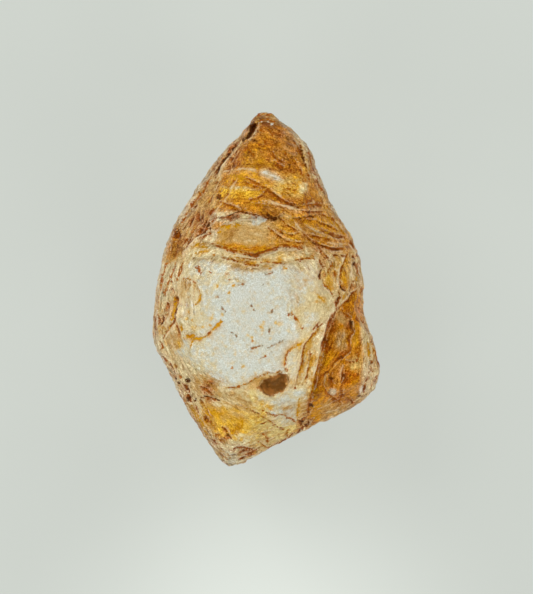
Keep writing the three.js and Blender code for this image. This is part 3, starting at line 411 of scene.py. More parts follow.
    ("rust", 0.4, 0.3, [(-6.3, -9.15), (-5.2, -8.95), (-5, -9.95), (-5.6, -10.45), (-6.3, -10.15)]),
    ("cream", 0.65, 0.3, [
        (-5.5, -10.65), (-3.8, -10.65), (-2.6, -11.15), (-3.4, -11.65), (-5, -11.45)]),
    ("olive", 0.6, 0.4, [
        (-2, -12.15), (-0.4, -12.35), (0.2, -13.55), (-0.8, -14.15), (-1.8, -13.35)]),
    ("tan", 0.5, 0.3, [(1.4, -11.35), (2.6, -11.35), (2.6, -12.55), (1.6, -12.55)]),
    ("umber", 0.3, 0.2, [(8.9, -9.95), (9.8, -9.55), (10, -10.55), (9.2, -11.15)]),
    ("milk", 0.45, 0.4, [(3.8, -2.15), (5.2, -2.35), (5, -3.75), (3.8, -3.95)]),
    ("gold", 0.35, 0.5, [
        (1.4, 7.25), (6.4, 7.25), (8.4, 4.65), (7.9, 4.05), (5.2, 4.45), (3.4, 4.65)]),
    ("cream", 0.4, 0.3, [(3, -4.55), (5.2, -3.95), (5.4, -5.45), (4.6, -9.75), (3.2, -9.75)]),
    ("gold", 0.3, 0.5, [
        (-4.8, 9.45), (6.4, 9.45), (6.4, 7.65), (2.4, 7.25), (-2.6, 7.85), (-4.8, 7.45)]),
    ("cream", 0.45, 0.4, [
        (10, -4.75), (10.6, -5.35), (11.4, -7.55), (11.2, -9.55), (10.2, -10.75), (9.6, -10.35),
        (10.4, -8.15)]),
)
POCKETS = (
    ("pitch", 1, [
        (-1.5, 16.75), (-0.8, 16.85), (-0.9, 16.25), (-1.2, 15.75), (-1.5, 15.35), (-2, 14.95),
        (-2.3, 14.75), (-2.3, 14.95), (-1.8, 15.35), (-1.6, 15.75), (-1.7, 16.05)]),
    # painted shade: a near-black pocket at the foot of the step down to the lens, over a real
    # hollow
    ("pitch", 1, [
        (-0.3, 7.8), (0.2, 7.85), (0.5, 7.45), (0.9, 7.25), (1.4, 7.4), (1.1, 7.05), (0.6, 6.8),
        (0.2, 7.05), (0, 7.45)]),
    ("window", 1, [
        (-1.05, -9.6), (-0.4, -9.15), (0.25, -8.55), (0.8, -8.5), (1.1, -8.15), (2, -8.3),
        (2.2, -8.9), (1.6, -10), (0.5, -10.6), (-0.35, -10.2)]),
)
MARKS = (
    # the tip and the amber slope
    ("crest", 1, [(-0.7, 16.75), (-0.85, 16.05), (-1.35, 15.3), (-2.1, 14.6)]),
    ("deep", 1.9, [(-2.7, 14.85), (-3.3, 14.15), (-4.4, 12.65), (-5.2, 11.25)]),
    ("crest", 1, [(-2.55, 14.75), (-3.4, 13.75), (-3.95, 12.85), (-4.35, 12.05), (-4.7, 11.05)]),
    ("crack", 0.8, [(-2.8, 13.85), (-3.2, 13.35)]),
    ("crack", 0.8, [(-3.2, 13.25), (-3.5, 12.75)]),
    ("crack", 0.8, [(-3, 12.75), (-3.4, 12.05), (-3.6, 11.65)]),
    ("hair", 1.2, [(-0.2, 15.05), (-0.15, 14.55), (-0.25, 14.05)]),
    ("hair", 1, [(-1.2, 17.25), (-0.4, 17.6), (0.4, 17.45)]),
    ("hair", 1, [(-1, 16.85), (0, 17.1), (1, 16.75)]),
    ("hair", 1.2, [(0.2, 16.25), (0.6, 15.65), (0.7, 15.05)]),
    ("hair", 1.2, [(-1, 16.05), (-0.4, 15.85), (0, 15.35)]),
    ("ledge", 1, [(-4.5, 8.75), (-3.8, 8.45), (-2.9, 8.15), (-2.6, 7.95), (-2.1, 8.05)]),
    ("crack", 1, [(-1.9, 11.05), (-1.4, 10.85), (-0.4, 10.35)]),
    ("ochre", 1, [(-3.4, 11.45), (-2.6, 11.25), (-1.9, 11.05)]),
    ("crack", 0.8, [(-2.1, 10.75), (-1.4, 10.45), (-0.6, 10.05)]),
    ("crack", 0.9, [(-1.6, 8.95), (-0.8, 9.15), (-0.2, 9.65), (0.1, 10.05)]),
    # painted highlight: a white glint along a pale streak across the amber slope
    ("glint", 1.1, [(-0.8, 11.85), (1.8, 10.85)]),
    ("crest", 1, [(-2.8, 12.1), (-1.8, 12.05), (-0.8, 11.9)]),
    ("crest", 0.8, [(-4.2, 11.65), (-3.5, 11.9), (-2.8, 12.05)]),
    ("deep", 1.3, [(3.4, 14.75), (3.6, 13.55), (3.75, 13.05), (3.95, 11.95)]),
    ("crack", 1, [(4, 11.85), (4.15, 11.55), (4.4, 11.25)]),
    ("hair", 1.2, [(4.2, 14.05), (4.3, 13.45), (4.4, 12.95)]),
    ("hair", 1.2, [(3.1, 14.45), (3.2, 13.85), (3.3, 13.35)]),
    ("crack", 0.9, [(4.4, 12.85), (4.5, 12.35), (4.8, 11.95), (5.1, 11.85)]),
    ("crack", 0.9, [(5, 11.35), (5.4, 10.35), (5.5, 9.95)]),
    ("crack", 1, [(2.7, 13.05), (3.4, 11.95), (3.4, 11.55)]),
    ("crack", 1.1, [(0.6, 13.75), (0.8, 13.35), (1.1, 13.05)]),
    ("crack", 1.2, [(1.2, 13.05), (1.5, 12.8), (1.7, 12.65)]),
    ("crack", 1, [(0.8, 12.75), (1.2, 12.45), (1.7, 12.15)]),
    ("rusty", 1, [(1.7, 8.85), (2.4, 8.55), (3.1, 8.35), (3.7, 8.25)]),
    ("crack", 1.1, [(3.7, 8.25), (4.2, 8.45), (4.9, 8.55), (5.6, 8.55)]),
    ("crack", 1.3, [(0, 10.25), (1, 9.35), (1.8, 8.85)]),
    ("crest", 1, [(-0.4, 8.95), (0.9, 8.65), (3.7, 7.85)]),
    ("crack", 0.9, [(3.6, 7.75), (4.6, 7.75), (5.6, 7.85)]),
    ("deep", 0.7, [(2.6, 7.15), (4.6, 7.35), (5.4, 7.35)]),
    ("deep", 0.8, [(-1.7, 7.6), (-1.3, 7.5), (-0.7, 7.35)]),
    ("deep", 0.7, [(-4.7, 7.25), (-4, 7.15), (-3.4, 7.35), (-2.6, 7.85), (-2, 7.75), (-1.6, 7.55)]),
    ("hair", 1.2, [(1.8, 13.85), (2.2, 13.25), (2.5, 12.65)]),
    ("hair", 1.2, [(-1.8, 14.05), (-1.2, 13.45), (-1, 12.85)]),
    ("hair", 1, [(1.6, 10.25), (2.4, 10.05), (3.2, 10.15)]),
    ("fold", 0.8, [(-1.4, 8.65), (-0.4, 8.45), (0.6, 8.45)]),
    ("hair", 1.3, [(3.8, 9.45), (4, 8.95), (3.9, 8.45)]),
    ("hair", 1, [(3, 11.65), (4, 11.25), (4.8, 10.65)]),
    # the left flank
    ("rosy", 1, [(-4.6, 12.75), (-5, 12.15), (-5.5, 11.25), (-6.9, 9.25)]),
    ("hair", 1.2, [(-5.4, 11.25), (-7.8, 7.65)]),
    ("hair", 1.2, [(-5.8, 10.65), (-6.6, 9.65), (-7.6, 8.25), (-8.6, 6.45)]),
    ("crest", 0.7, [(-6, 10.85), (-7, 9.45), (-8, 7.85), (-8.8, 6.45)]),
    ("deep", 0.9, [(-5.6, 6.1), (-6.2, 5.85), (-6.8, 5.45), (-7.2, 5.05)]),
    ("crack", 1, [(-7.2, 5.05), (-7.6, 4.65), (-7.9, 4.15)]),
    ("crack", 1, [(-5.5, 5.7), (-6, 5.4), (-6.4, 5.05)]),
    ("deep", 0.8, [(-5.5, 6.75), (-5.7, 6.35), (-5.9, 5.95)]),
    ("deep", 0.8, [(-5.85, 7.05), (-6, 6.65), (-6.25, 6.15)]),
    ("deep", 0.7, [(-6.2, 7.45), (-6.4, 7.05), (-6.55, 6.65)]),
    ("deep", 0.7, [(-6.55, 7.85), (-6.7, 7.35), (-6.8, 6.95)]),
    ("crack", 1, [(-5.2, 8.05), (-5.5, 7.75), (-5.65, 7.45)]),
    ("crack", 1, [(-4.9, 7.35), (-5.1, 7.05), (-5.2, 6.75)]),
    ("crack", 1, [(-6.2, 6.35), (-6.5, 5.95), (-6.9, 5.55)]),
    ("deep", 0.7, [(-7.4, 5.45), (-7.6, 5.05), (-7.8, 4.45)]),
    ("crack", 0.9, [(-7.9, 5.25), (-8.2, 4.75), (-8.3, 4.35)]),
    ("crack", 0.9, [(-6.8, 8.55), (-7.1, 8.05)]),
    ("crack", 0.8, [(-7.2, 7.35), (-7.5, 6.85), (-7.7, 6.35)]),
    ("crack", 0.8, [(-5.3, 9.45), (-5.6, 9.05), (-5.8, 8.65)]),
    ("crack", 0.8, [(-5.9, 10.65), (-6.3, 10.05)]),
    ("deep", 1.3, [(-8.5, 6.05), (-8.7, 5.55), (-9, 5.05)]),
    ("crest", 1.3, [(-6, 5.65), (-6.6, 5.3), (-7.1, 4.9), (-7.6, 4.35), (-8, 3.8), (-8.4, 3.05)]),
    ("crest", 0.8, [(-5.4, 6.25), (-6, 5.65), (-6.6, 4.95)]),
    ("crack", 0.9, [(-9.25, 0.45), (-9.2, -0.05), (-9, -0.55)]),
    ("ochre", 1.3, [(-9.2, -0.55), (-9.07, -1.05), (-9.12, -1.65), (-9.45, -3.05)]),
    ("deep", 1.8, [(-9.05, -0.45), (-8.8, -0.95), (-8.84, -1.45), (-9.17, -3.25)]),
    ("gold", 1.3, [(-9.25, -3.2), (-9.6, -3.75), (-9.95, -4.15), (-10.2, -4.65)]),
    ("crack", 1.1, [(-8.9, -3.15), (-8.8, -3.75), (-8.45, -4.75)]),
    ("ochre", 1, [(-8.35, -3.35), (-8.35, -4.05)]),
    ("crack", 1.2, [(-9.95, -1.25), (-9.7, -1.65), (-9.68, -2.15), (-9.85, -2.55)]),
    ("deep", 0.6, [(-9.7, -1.75), (-9.68, -2.15), (-9.8, -2.45)]),
    ("crest", 0.8, [(-9.6, -0.55), (-9.3, -1.25), (-9.4, -2.15), (-9.6, -2.95), (-10.2, -3.95)]),
    ("crest", 0.8, [(-8.6, -0.55), (-8.5, -1.35), (-8.7, -2.35), (-8.8, -3.15)]),
    ("deep", 0.8, [(-10.15, -2.5), (-10.25, -2.95), (-10.4, -3.45)]),
    ("crack", 1.1, [(-10.7, -2.35), (-10.65, -2.95), (-10.8, -3.35)]),
    ("deep", 0.6, [(-11.1, -3.95), (-11.03, -4.65)]),
    ("hair", 1.2, [(-10.6, -5.05), (-10.3, -5.35), (-10.3, -5.85)]),
    ("hair", 1.2, [(-9, 2.85), (-9.9, 0.25), (-10.2, -0.95)]),
    ("hair", 1, [(-8.2, 2.85), (-8.6, 1.85), (-9, 0.65)]),
    ("hair", 1, [(-9.8, 2.85), (-10.2, 1.45), (-10.9, -1.55)]),
    ("crest", 0.7, [(-9.4, 2.85), (-9.9, 1.45), (-10.4, -0.15), (-10.8, -1.95)]),
    ("ochre", 0.8, [(-8.2, -4.8), (-7.6, -4.55), (-7.1, -4.35)]),
    ("ochre", 1, [(-8.2, -4.85), (-7.5, -4.6), (-6.6, -4.8), (-6, -4.65)]),
    ("gold", 0.8, [(-6, -4.6), (-5.7, -4.25), (-5.4, -3.95)]),
    ("ochre", 1.1, [(-5.5, -4.05), (-4.8, -3.4), (-4.2, -3)]),
    ("ochre", 0.8, [(-7.1, -4.45), (-7.3, -5.15), (-7.5, -5.75)]),
    ("crack", 0.9, [(-10.8, -6.25), (-10.5, -6.65)]),
    ("crack", 1.1, [(-10.3, -6.65), (-9.8, -7.05)]),
    ("crack", 1.1, [(-10.1, -7.25), (-9.8, -7.85)]),
    ("crest", 0.8, [(-10.1, -6.25), (-9.4, -7.05), (-9, -7.95), (-8.4, -8.85)]),
    ("crack", 0.9, [(-9.6, -7.15), (-9, -8.35), (-8.9, -8.95)]),
    ("hair", 1.2, [(-8.5, -8.35), (-8.3, -8.85)]),
    ("crack", 1.2, [(-8.2, -9.25), (-7.9, -9.65), (-7.6, -10.15)]),
    ("crack", 1, [(-8.6, -9.95), (-8.4, -10.35), (-8.2, -10.35)]),
    ("crack", 1, [(-7.8, -10.25), (-7.5, -10.75), (-7.4, -11.05)]),
    ("fold", 0.7, [(-9, -9.35), (-8.2, -10.95), (-7.3, -12.95), (-6, -14.95)]),
    # the lens and the bands
    ("deep", 0.6, [(0, 3.85), (-0.5, 3.7), (-0.9, 3.5), (-1.6, 3.5), (-2.4, 3.65), (-3.2, 3.9)]),
    ("crack", 0.8, [(-3.2, 3.9), (-3.9, 4.15), (-4.7, 4.45)]),
    ("crack", 0.9, [(2.3, 4.35), (1.6, 4.35), (1.1, 4.15)]),
    ("gold", 1.1, [
        (3.7, 4.1), (3.1, 4.15), (2.4, 4.35), (1.4, 4.35), (1.1, 4.15), (-0.3, 3.8), (-0.9, 3.5),
        (-1.6, 3.55), (-2.6, 3.75), (-4.6, 4.35), (-5.3, 4.75)]),
    ("crest", 0.9, [(-5.1, 4.35), (-2.1, 3.4), (-0.8, 3.3), (1, 3.9), (1.9, 4.05), (3.4, 3.85)]),
    ("fold", 0.9, [(-2.8, 3.25), (-1.8, 3.15), (-0.6, 3.15)]),
    ("gold", 0.8, [(-0.6, 2.4), (-2.6, 2.8), (-4.4, 3.35)]),
    ("gold", 0.6, [(2.1, 2.6), (1.5, 2.7), (0.9, 2.65), (-0.6, 2.85)]),
    ("gold", 0.8, [(5, 3.25), (3.7, 3.1), (2.7, 2.95)]),
    ("ochre", 0.9, [(-7.1, 3.65), (-6.4, 3.85), (-5.5, 4.05)]),
    ("ochre", 0.9, [(-6.7, 4.35), (-5.8, 4.35)]),
    ("ochre", 0.9, [(-7.4, 4.15), (-6.8, 4.65), (-6, 4.75)]),
    ("ochre", 0.8, [(0.2, 2.15), (0.7, 2.15)]),
    ("ochre", 0.8, [(1.7, 2.35), (2.1, 2.15)]),
    ("ochre", 0.8, [(-4.6, 6.45), (-4, 6.3), (-3.5, 6.15)]),
    ("ochre", 0.8, [(-4.9, 5.85), (-4.3, 5.8)]),
    ("ochre", 0.8, [(-4.6, 6.2), (-3.6, 6.4), (-2.4, 6.45)]),
    ("ochre", 0.6, [(-2.6, 4.55), (-2.2, 4.35), (-1.8, 4.4)]),
    ("crest", 0.8, [(-4.4, 6.25), (-3, 6.85), (-1.6, 7.05), (-0.4, 6.85)]),
    # the fan on the right shoulder
    ("ledge", 1, [(0.2, 6.25), (1.8, 5.05), (2.6, 4.75), (3.4, 4.65), (4, 4.75)]),
    ("crack", 0.9, [(1, 6.15), (1.9, 5.55), (2.6, 5.45), (3.2, 5.65)]),
    ("crack", 0.8, [(1.7, 6.85), (2.6, 6.15), (3.1, 5.75)]),
    ("crest", 1.1, [(2.7, 7.15), (3.4, 6.05), (4.3, 5.25), (5, 4.45), (6.5, 2.55)]),
    ("crack", 1.1, [(3.4, 6.05), (4, 5.35), (4.6, 4.85), (5.2, 4.25), (5.9, 3.25)]),
    ("ledge", 0.9, [(5.4, 5.95), (6.2, 5.65), (7, 5.35)]),
    ("crack", 1.2, [(6.4, 5.5), (7, 5.3), (7.9, 5.3)]),
    ("crest", 1, [(3.7, 6.65), (4.6, 6.15), (6.7, 5.25), (8, 5.05)]),
    ("ledge", 1, [(3.7, 5.75), (4.5, 5.45), (7, 4.9)]),
    ("crack", 1.3, [(4.7, 4.95), (5.4, 4.45), (6.4, 4.1), (7.1, 4.15), (7.7, 4.1)]),
    ("gold", 0.8, [(5.3, 6.15), (6.8, 5.55), (7.8, 5.4)]),
    ("crest", 0.8, [(6, 4.75), (7, 4.55), (8.2, 4.65)]),
    ("crack", 0.9, [(6.6, 3.65), (7.2, 3.5), (7.8, 3.45)]),
    ("crest", 0.8, [(5.6, 4.05), (6.6, 3.85), (7.8, 3.85)]),
    ("ledge", 0.8, [(3.5, 6.95), (4.8, 6.95), (6.2, 6.45), (7.2, 5.85)]),
    ("fold", 0.9, [(5, 7.65), (6.2, 7.25), (7.2, 6.45), (8, 5.45)]),
    ("fold", 0.8, [(6, 8.45), (7, 7.45), (8, 6.25), (8.8, 4.85)]),
    ("hair", 1.1, [(7, 2.85), (6.4, 2.25), (6, 1.45)]),
    ("gold", 1, [(6.8, -0.65), (6.5, -0.15), (6, 0.45), (5.4, 1.05)]),
    ("deep", 0.8, [(5.4, 1.05), (5.25, 1.55), (5.4, 2.05)]),
    ("crack", 0.9, [(5.7, 2.25), (5.5, 2.65), (5.3, 3.05)]),
    ("ledge", 1.1, [(5.5, 3.95), (5.9, 3.45), (6.3, 2.95)]),
    ("crest", 0.8, [(6.4, 2.65), (7.1, 1.65), (7.2, 0.45), (6.8, -0.35)]),
    ("gold", 1.4, [(7.2, 0.65), (7.5, 2.05), (8.1, 3.75)]),
    ("deep", 0.9, [(7.8, -0.05), (7.5, 0.15), (7.2, 0.65)]),
    ("crack", 0.8, [(6.8, 1.85), (6.9, 1.25)]),
    ("hair", 1.2, [(6.6, 2.85), (6.7, 2.25)]),
    ("deep", 0.8, [(8.2, -0.05), (8.4, 0.5), (8.7, 1)]),
    ("deep", 0.8, [(8.7, 2.35), (8.85, 2.85)]),
    ("crack", 1.1, [(8.4, 5.05), (8.6, 4.55), (8.8, 4.15)]),
    ("crack", 0.9, [(9, 3.85), (9.2, 3.25)]),
    ("crack", 0.8, [(8.6, 3.5), (8.7, 3.15)]),
    ("crack", 0.9, [(9.1, 2.65), (9.2, 2.05), (9.35, 1.55)]),
    ("ochre", 1.1, [(9.05, 1.35), (9.1, 0.95)]),
    ("crest", 0.8, [(8.2, 4.75), (8.6, 4.05), (8.9, 3.45)]),
    ("crest", 0.8, [(8.5, 2.85), (8.5, 1.85), (8.7, 1.15)]),
    ("hair", 1, [(9.4, 0.65), (9.5, 0.05), (9.6, -0.55)]),
    ("ledge", 1.2, [(7.2, -1.85), (7.6, -1.35), (8.1, -0.95), (8.6, -0.35), (9.4, 0.35)]),
    ("rusty", 0.8, [(7.8, -1.35), (8.2, -0.95), (8.6, -0.55)]),
    ("crack", 1.1, [(7.4, -0.45), (7.2, -1.05), (7, -1.65)]),
    ("ochre", 0.9, [(7.8, -0.35), (7.6, -0.85)]),
    ("crack", 1, [(9.5, -1.35), (9.6, -1.85), (9.75, -2.25)]),
    ("ochre", 0.8, [(5.1, -0.45), (5.9, -1.15)]),
    # the lobe
    ("crack", 1, [(7, -1.85), (6.45, -3.05), (5.9, -4.55), (5.45, -6.05)]),
    ("gold", 0.9, [(5.45, -6.05), (5.18, -7.75), (4.45, -10.35)]),
    ("crack", 0.9, [(4.45, -10.35), (4.35, -11.25), (4.3, -12.85)]),
    ("crack", 1, [(6.4, -2.95), (6.15, -3.65), (6, -4.25)]),
    ("crest", 1, [
        (6.7, -1.75), (5.9, -3.75), (5.25, -5.75), (5.1, -6.95), (4.9, -7.95), (4.55, -8.85),
        (4.3, -9.75)]),
    ("crack", 1.1, [(7.5, -1.9), (8.15, -2.5), (8.4, -2.85)]),
    ("deep", 1.1, [(8.35, -2.75), (8.5, -3.25), (8.45, -3.75), (8.7, -4.05)]),
    ("gold", 1, [(8.7, -4.05), (8.4, -4.45), (8.25, -4.95), (8.25, -5.55)]),
    ("rusty", 1, [
        (8.3, -5.85), (7.9, -6.3), (7.4, -6.7), (6.8, -7.05), (6.5, -7.45), (6.4, -7.95)]),
    ("crack", 1.2, [(6.5, -7.95), (5.8, -8.45), (5.7, -8.85)]),
    ("crack", 0.9, [(5.7, -8.85), (5.65, -9.35), (5.9, -9.85), (6.3, -10.35)]),
    ("crack", 1.1, [(6.5, -8.05), (6.4, -8.65), (6.6, -9.25), (6.7, -9.75)]),
    ("crest", 1, [(7.8, -7.35), (7.5, -7.75), (7.35, -8.95)]),
    ("crack", 0.9, [(7.7, -7.95), (7.6, -8.45), (7.5, -8.95)]),
    ("crack", 0.9, [(7.6, -9.95), (7.45, -11.05), (7.5, -11.65)]),
    ("crack", 0.8, [(8.3, -10.65), (8.5, -10.95), (8.7, -11.35)]),
    ("crack", 0.7, [(7.8, -7.05), (8.4, -7.15), (9, -7.05)]),
    ("crack", 0.8, [(5.9, -9.95), (6.4, -10.45), (7.2, -10.95)]),
    ("ochre", 1, [(10.2, -5.15), (10.3, -6.15), (10.4, -6.95)]),
    ("crack", 1.1, [(10.8, -6.85), (10.5, -7.55), (10.7, -8.05)]),
    ("crack", 1.1, [(10.3, -8.15), (10, -9.05), (9.8, -9.85), (9.8, -10.55)]),
    ("crest", 1.2, [(10.2, -8.05), (9.8, -8.85), (9.5, -9.75)]),
    # painted highlight: the white glint on the lobe's right rim
    ("glint", 1.7, [(9.6, -9.45), (9.48, -9.95), (9.5, -10.35)]),
    ("crack", 0.9, [(11.1, -8.45), (10.9, -9.05), (11.05, -9.55)]),
    ("crest", 0.8, [(10.6, -8.15), (10.3, -9.15), (10.2, -10.15)]),
    ("fold", 0.8, [(10.6, -5.35), (11.1, -6.75), (11.4, -8.15), (11, -9.75)]),
    ("fold", 0.7, [(10, -10.75), (9, -11.55), (8, -12.05)]),
    ("hair", 1.4, [(8.2, -11.95), (9, -11.55), (9.6, -10.95)]),
    ("crack", 1, [(8.9, -2.45), (9.1, -2.75), (9.35, -3.2)]),
    ("crack", 0.8, [(9.3, -1.55), (9.55, -1.95), (9.75, -2.35)]),
    ("hair", 1.2, [(9.8, -2.75), (10.1, -3.75), (10.5, -4.75)]),
    ("hair", 1.2, [(8.9, -5.55), (9.2, -6.35), (9, -7.15)]),
    ("crack", 0.8, [(4.7, -3.85), (5, -3.45), (5.4, -3.05)]),
    ("gold", 1, [
        (2.9, -9.75), (3, -9.15), (3.6, -6.75), (3.7, -5.95), (4, -5.25), (4.5, -4.65), (5, -3.95),
        (5.6, -3.25)]),
    ("gold", 0.9, [(4, -9.25), (3.8, -8.95), (4, -8.45), (4.4, -6.95), (4.4, -6.15)]),
    ("gold", 0.8, [(3.7, -5.15), (2.4, -5.85), (2.1, -6.45), (1.95, -7.25), (2.1, -8.05)]),
    ("ochre", 1.2, [(3.6, -5.15), (3, -5.55), (2.4, -5.95)]),
    # the foot
    ("crack", 0.8, [(-6.6, -9.55), (-6, -9.75), (-5.1, -10.45)]),
    ("deep", 0.7, [(-6.4, -10.65), (-5.8, -10.55), (-5.3, -10.75), (-4.6, -10.9)]),
    ("fold", 0.8, [
        (-4.2, -9.75), (-3.1, -9.55), (-2.3, -9.35), (-1.6, -9.05), (-0.8, -8.55), (0.4, -8.15),
        (1.8, -8.05)]),
    ("fold", 0.7, [(-3, -11.35), (-2.2, -11.65), (-1.6, -11.75)]),
    ("crack", 0.9, [(-1.5, -11.75), (-1, -12.15), (-0.5, -12.45)]),
    ("fold", 0.8, [(-0.5, -12.45), (0.4, -13.05), (1.1, -13.55)]),
    ("crack", 1.2, [(-6.1, -12.3), (-5.9, -12.65), (-5.65, -13.05)]),
    ("hair", 1.4, [(-5.5, -12.85), (-5.3, -13.35), (-4.9, -13.4)]),
    ("crack", 1.4, [(-4.3, -13.6), (-4.1, -13.8), (-3.9, -14)]),
    ("deep", 1.1, [(-3.9, -14.15), (-3.7, -14.4), (-3.5, -14.7)]),
    ("ochre", 1, [(-7.3, -11.45), (-6.9, -12.25), (-6.3, -13.15), (-5.6, -14.05)]),
    ("ochre", 0.9, [(-7.8, -11.15), (-7.2, -12.35), (-6.6, -13.35), (-5.9, -14.35)]),
    ("fold", 0.9, [(-7, -13.35), (-6, -14.75), (-5, -15.95), (-4, -17.35)]),
    ("ochre", 0.9, [(-2.5, -12.55), (-2.35, -13.15), (-2.45, -13.75)]),
    ("ochre", 1, [(-7.5, -11.85), (-7.2, -12.55), (-6.85, -13.15)]),
    ("crack", 0.8, [(-7, -11.35), (-6.8, -11.85), (-6.7, -12.25)]),
    ("crack", 1, [(-5.4, -14.65), (-5.1, -15.05), (-4.85, -15.35)]),
    ("crack", 0.8, [(-4.9, -14.8), (-4.4, -14.75), (-4.1, -15.1)]),
    ("hair", 1.5, [(-5.5, -14.35), (-4.9, -14.35), (-4.4, -14.15)]),
    ("ochre", 1, [(-6.6, -13.25), (-6.1, -14.05), (-5.4, -14.95)]),
    ("fold", 0.8, [(-5.9, -15.25), (-4.7, -16.15), (-3.7, -17.05)]),
    ("crack", 1, [(-4.7, -16.15), (-4.3, -16.5)]),
    ("fold", 0.8, [(-4.8, -15.25), (-3.9, -16.15), (-3.6, -16.75)]),
    ("fold", 0.7, [(-8, -10.75), (-7.2, -12.15), (-6.4, -13.75), (-5.2, -15.35), (-4, -17.15)]),
    ("crack", 1.1, [(-3.6, -15.8), (-2.4, -15.55), (-1, -15.95)]),
    ("crack", 1, [(-2.8, -16.35), (-2.3, -16), (-1.9, -15.75)]),
    ("crack", 0.9, [(-2.2, -16.45), (-1.6, -16.15), (-1, -15.85)]),
    ("crack", 0.8, [(-2.7, -16.95), (-2.3, -16.7), (-1.9, -16.65)]),
    ("ochre", 1, [(-3.2, -17.65), (-0.7, -16.75)]),
    ("crest", 0.8, [(-2.8, -17.15), (-1.6, -16.75), (-0.4, -16.25)]),
    ("crack", 0.9, [(0.3, -15.7), (2, -14.8), (2.6, -14.4)]),
    ("crest", 0.8, [(0.6, -15.85), (1.8, -15.25), (3, -14.65)]),
    ("fold", 0.8, [(-0.8, -15.05), (-0.3, -15.4), (0.2, -15.65)]),
    ("hair", 1.3, [(-0.5, -14.25), (0, -14.65), (0.2, -15.15)]),
    ("hair", 1.4, [(2.3, -13.75), (2.1, -14.35), (2.3, -14.85)]),
    ("crack", 1.1, [(3.9, -13.8), (3.4, -14.05), (3.1, -14.55)]),
    ("deep", 0.9, [(3.2, -12.95), (3.6, -13.25), (3.7, -13.75)]),
    ("crack", 1, [(3.5, -13.05), (3.8, -12.8), (4.15, -12.65)]),
    ("deep", 0.7, [(4.5, -12.75), (4.4, -13.15), (4.2, -13.65)]),
    ("ochre", 0.9, [(3.3, -10.75), (3.25, -11.75), (3.1, -12.95)]),
    ("crack", 0.8, [(0.75, -13.2), (1.1, -13.55)]),
    ("crack", 0.8, [(1.3, -13.6), (1.7, -13.75)]),
    ("hair", 1.2, [(1.8, -12.35), (2.4, -12.75), (3, -13.15)]),
    ("hair", 1, [(-0.4, -11.95), (0.6, -12.35), (1.6, -12.35)]),
    # the pale face
    ("hair", 0.8, [(-2.7, 0.7), (-2.6, 0.5)]),
    ("hair", 0.8, [(-6.7, 2.45), (-6.55, 2.05), (-6.4, 1.65)]),
    ("hair", 0.7, [(-5.7, 2.45), (-5.5, 2.25)]),
    ("hair", 0.7, [(-5.6, 1.85), (-5.4, 1.65)]),
    ("hair", 0.7, [(-3.7, 1.05), (-3.4, 0.95)]),
    ("hair", 0.8, [(0, 1.6), (0.4, 1.65), (0.8, 1.8)]),
    ("hair", 0.7, [(1.8, 1.35), (1.9, 0.95)]),
    ("hair", 0.7, [(-0.4, 0.65), (-0.15, 0.5)]),
    ("hair", 0.7, [(0.5, -1.05), (0.6, -1.4)]),
    ("hair", 0.7, [(2.1, -2.25), (2.4, -2.55)]),
    ("hair", 0.7, [(0.4, -3.85), (0.3, -4.35)]),
    ("hair", 0.7, [(-4.7, -0.55), (-4.7, -0.85)]),
    ("hair", 0.7, [(-1.8, -5.95), (-1, -5.65), (-0.4, -5.35)]),
    ("hair", 0.7, [(-3.4, -4.15), (-2.8, -4.55)]),
    ("hair", 0.7, [(-4.4, -1.75), (-4, -2.25)]),
    ("hair", 0.7, [(0.2, -5.75), (1, -5.35), (1.6, -4.95)]),
    ("fold", 0.7, [(-8.3, 1.05), (-7.7, 1.15), (-7.1, 0.85), (-6.7, 0.25), (-6.6, -0.25)]),
    ("hair", 1, [(2.5, -2.05), (3.5, -3.55), (3.8, -4.15)]),
    ("ochre", 1, [(5.1, -0.5), (5.4, -0.75), (5.8, -1.05)]),
    ("hair", 1, [(-4.1, 1.75), (-3.65, 1.55)]),
    ("hair", 1, [(-2.55, 0.8), (-2, 0.45)]),
    ("hair", 0.9, [(-6.9, 2.25), (-6.4, 1.75)]),
    ("ochre", 0.8, [(-6.55, -0.25), (-6.55, -0.75), (-6.8, -1.25), (-7.2, -1.6)]),
    ("ochre", 0.5, [(-7.6, -1.75), (-7.55, -2.55)]),
    ("hair", 0.7, [(-1.55, -1.35), (-1.4, -1.65), (-1.1, -2.05)]),
    ("hair", 0.8, [(0.6, -1.85), (0.65, -2.35)]),
    ("hair", 0.8, [(-1, -6.95), (-0.2, -6.55), (0.6, -6.15)]),
)
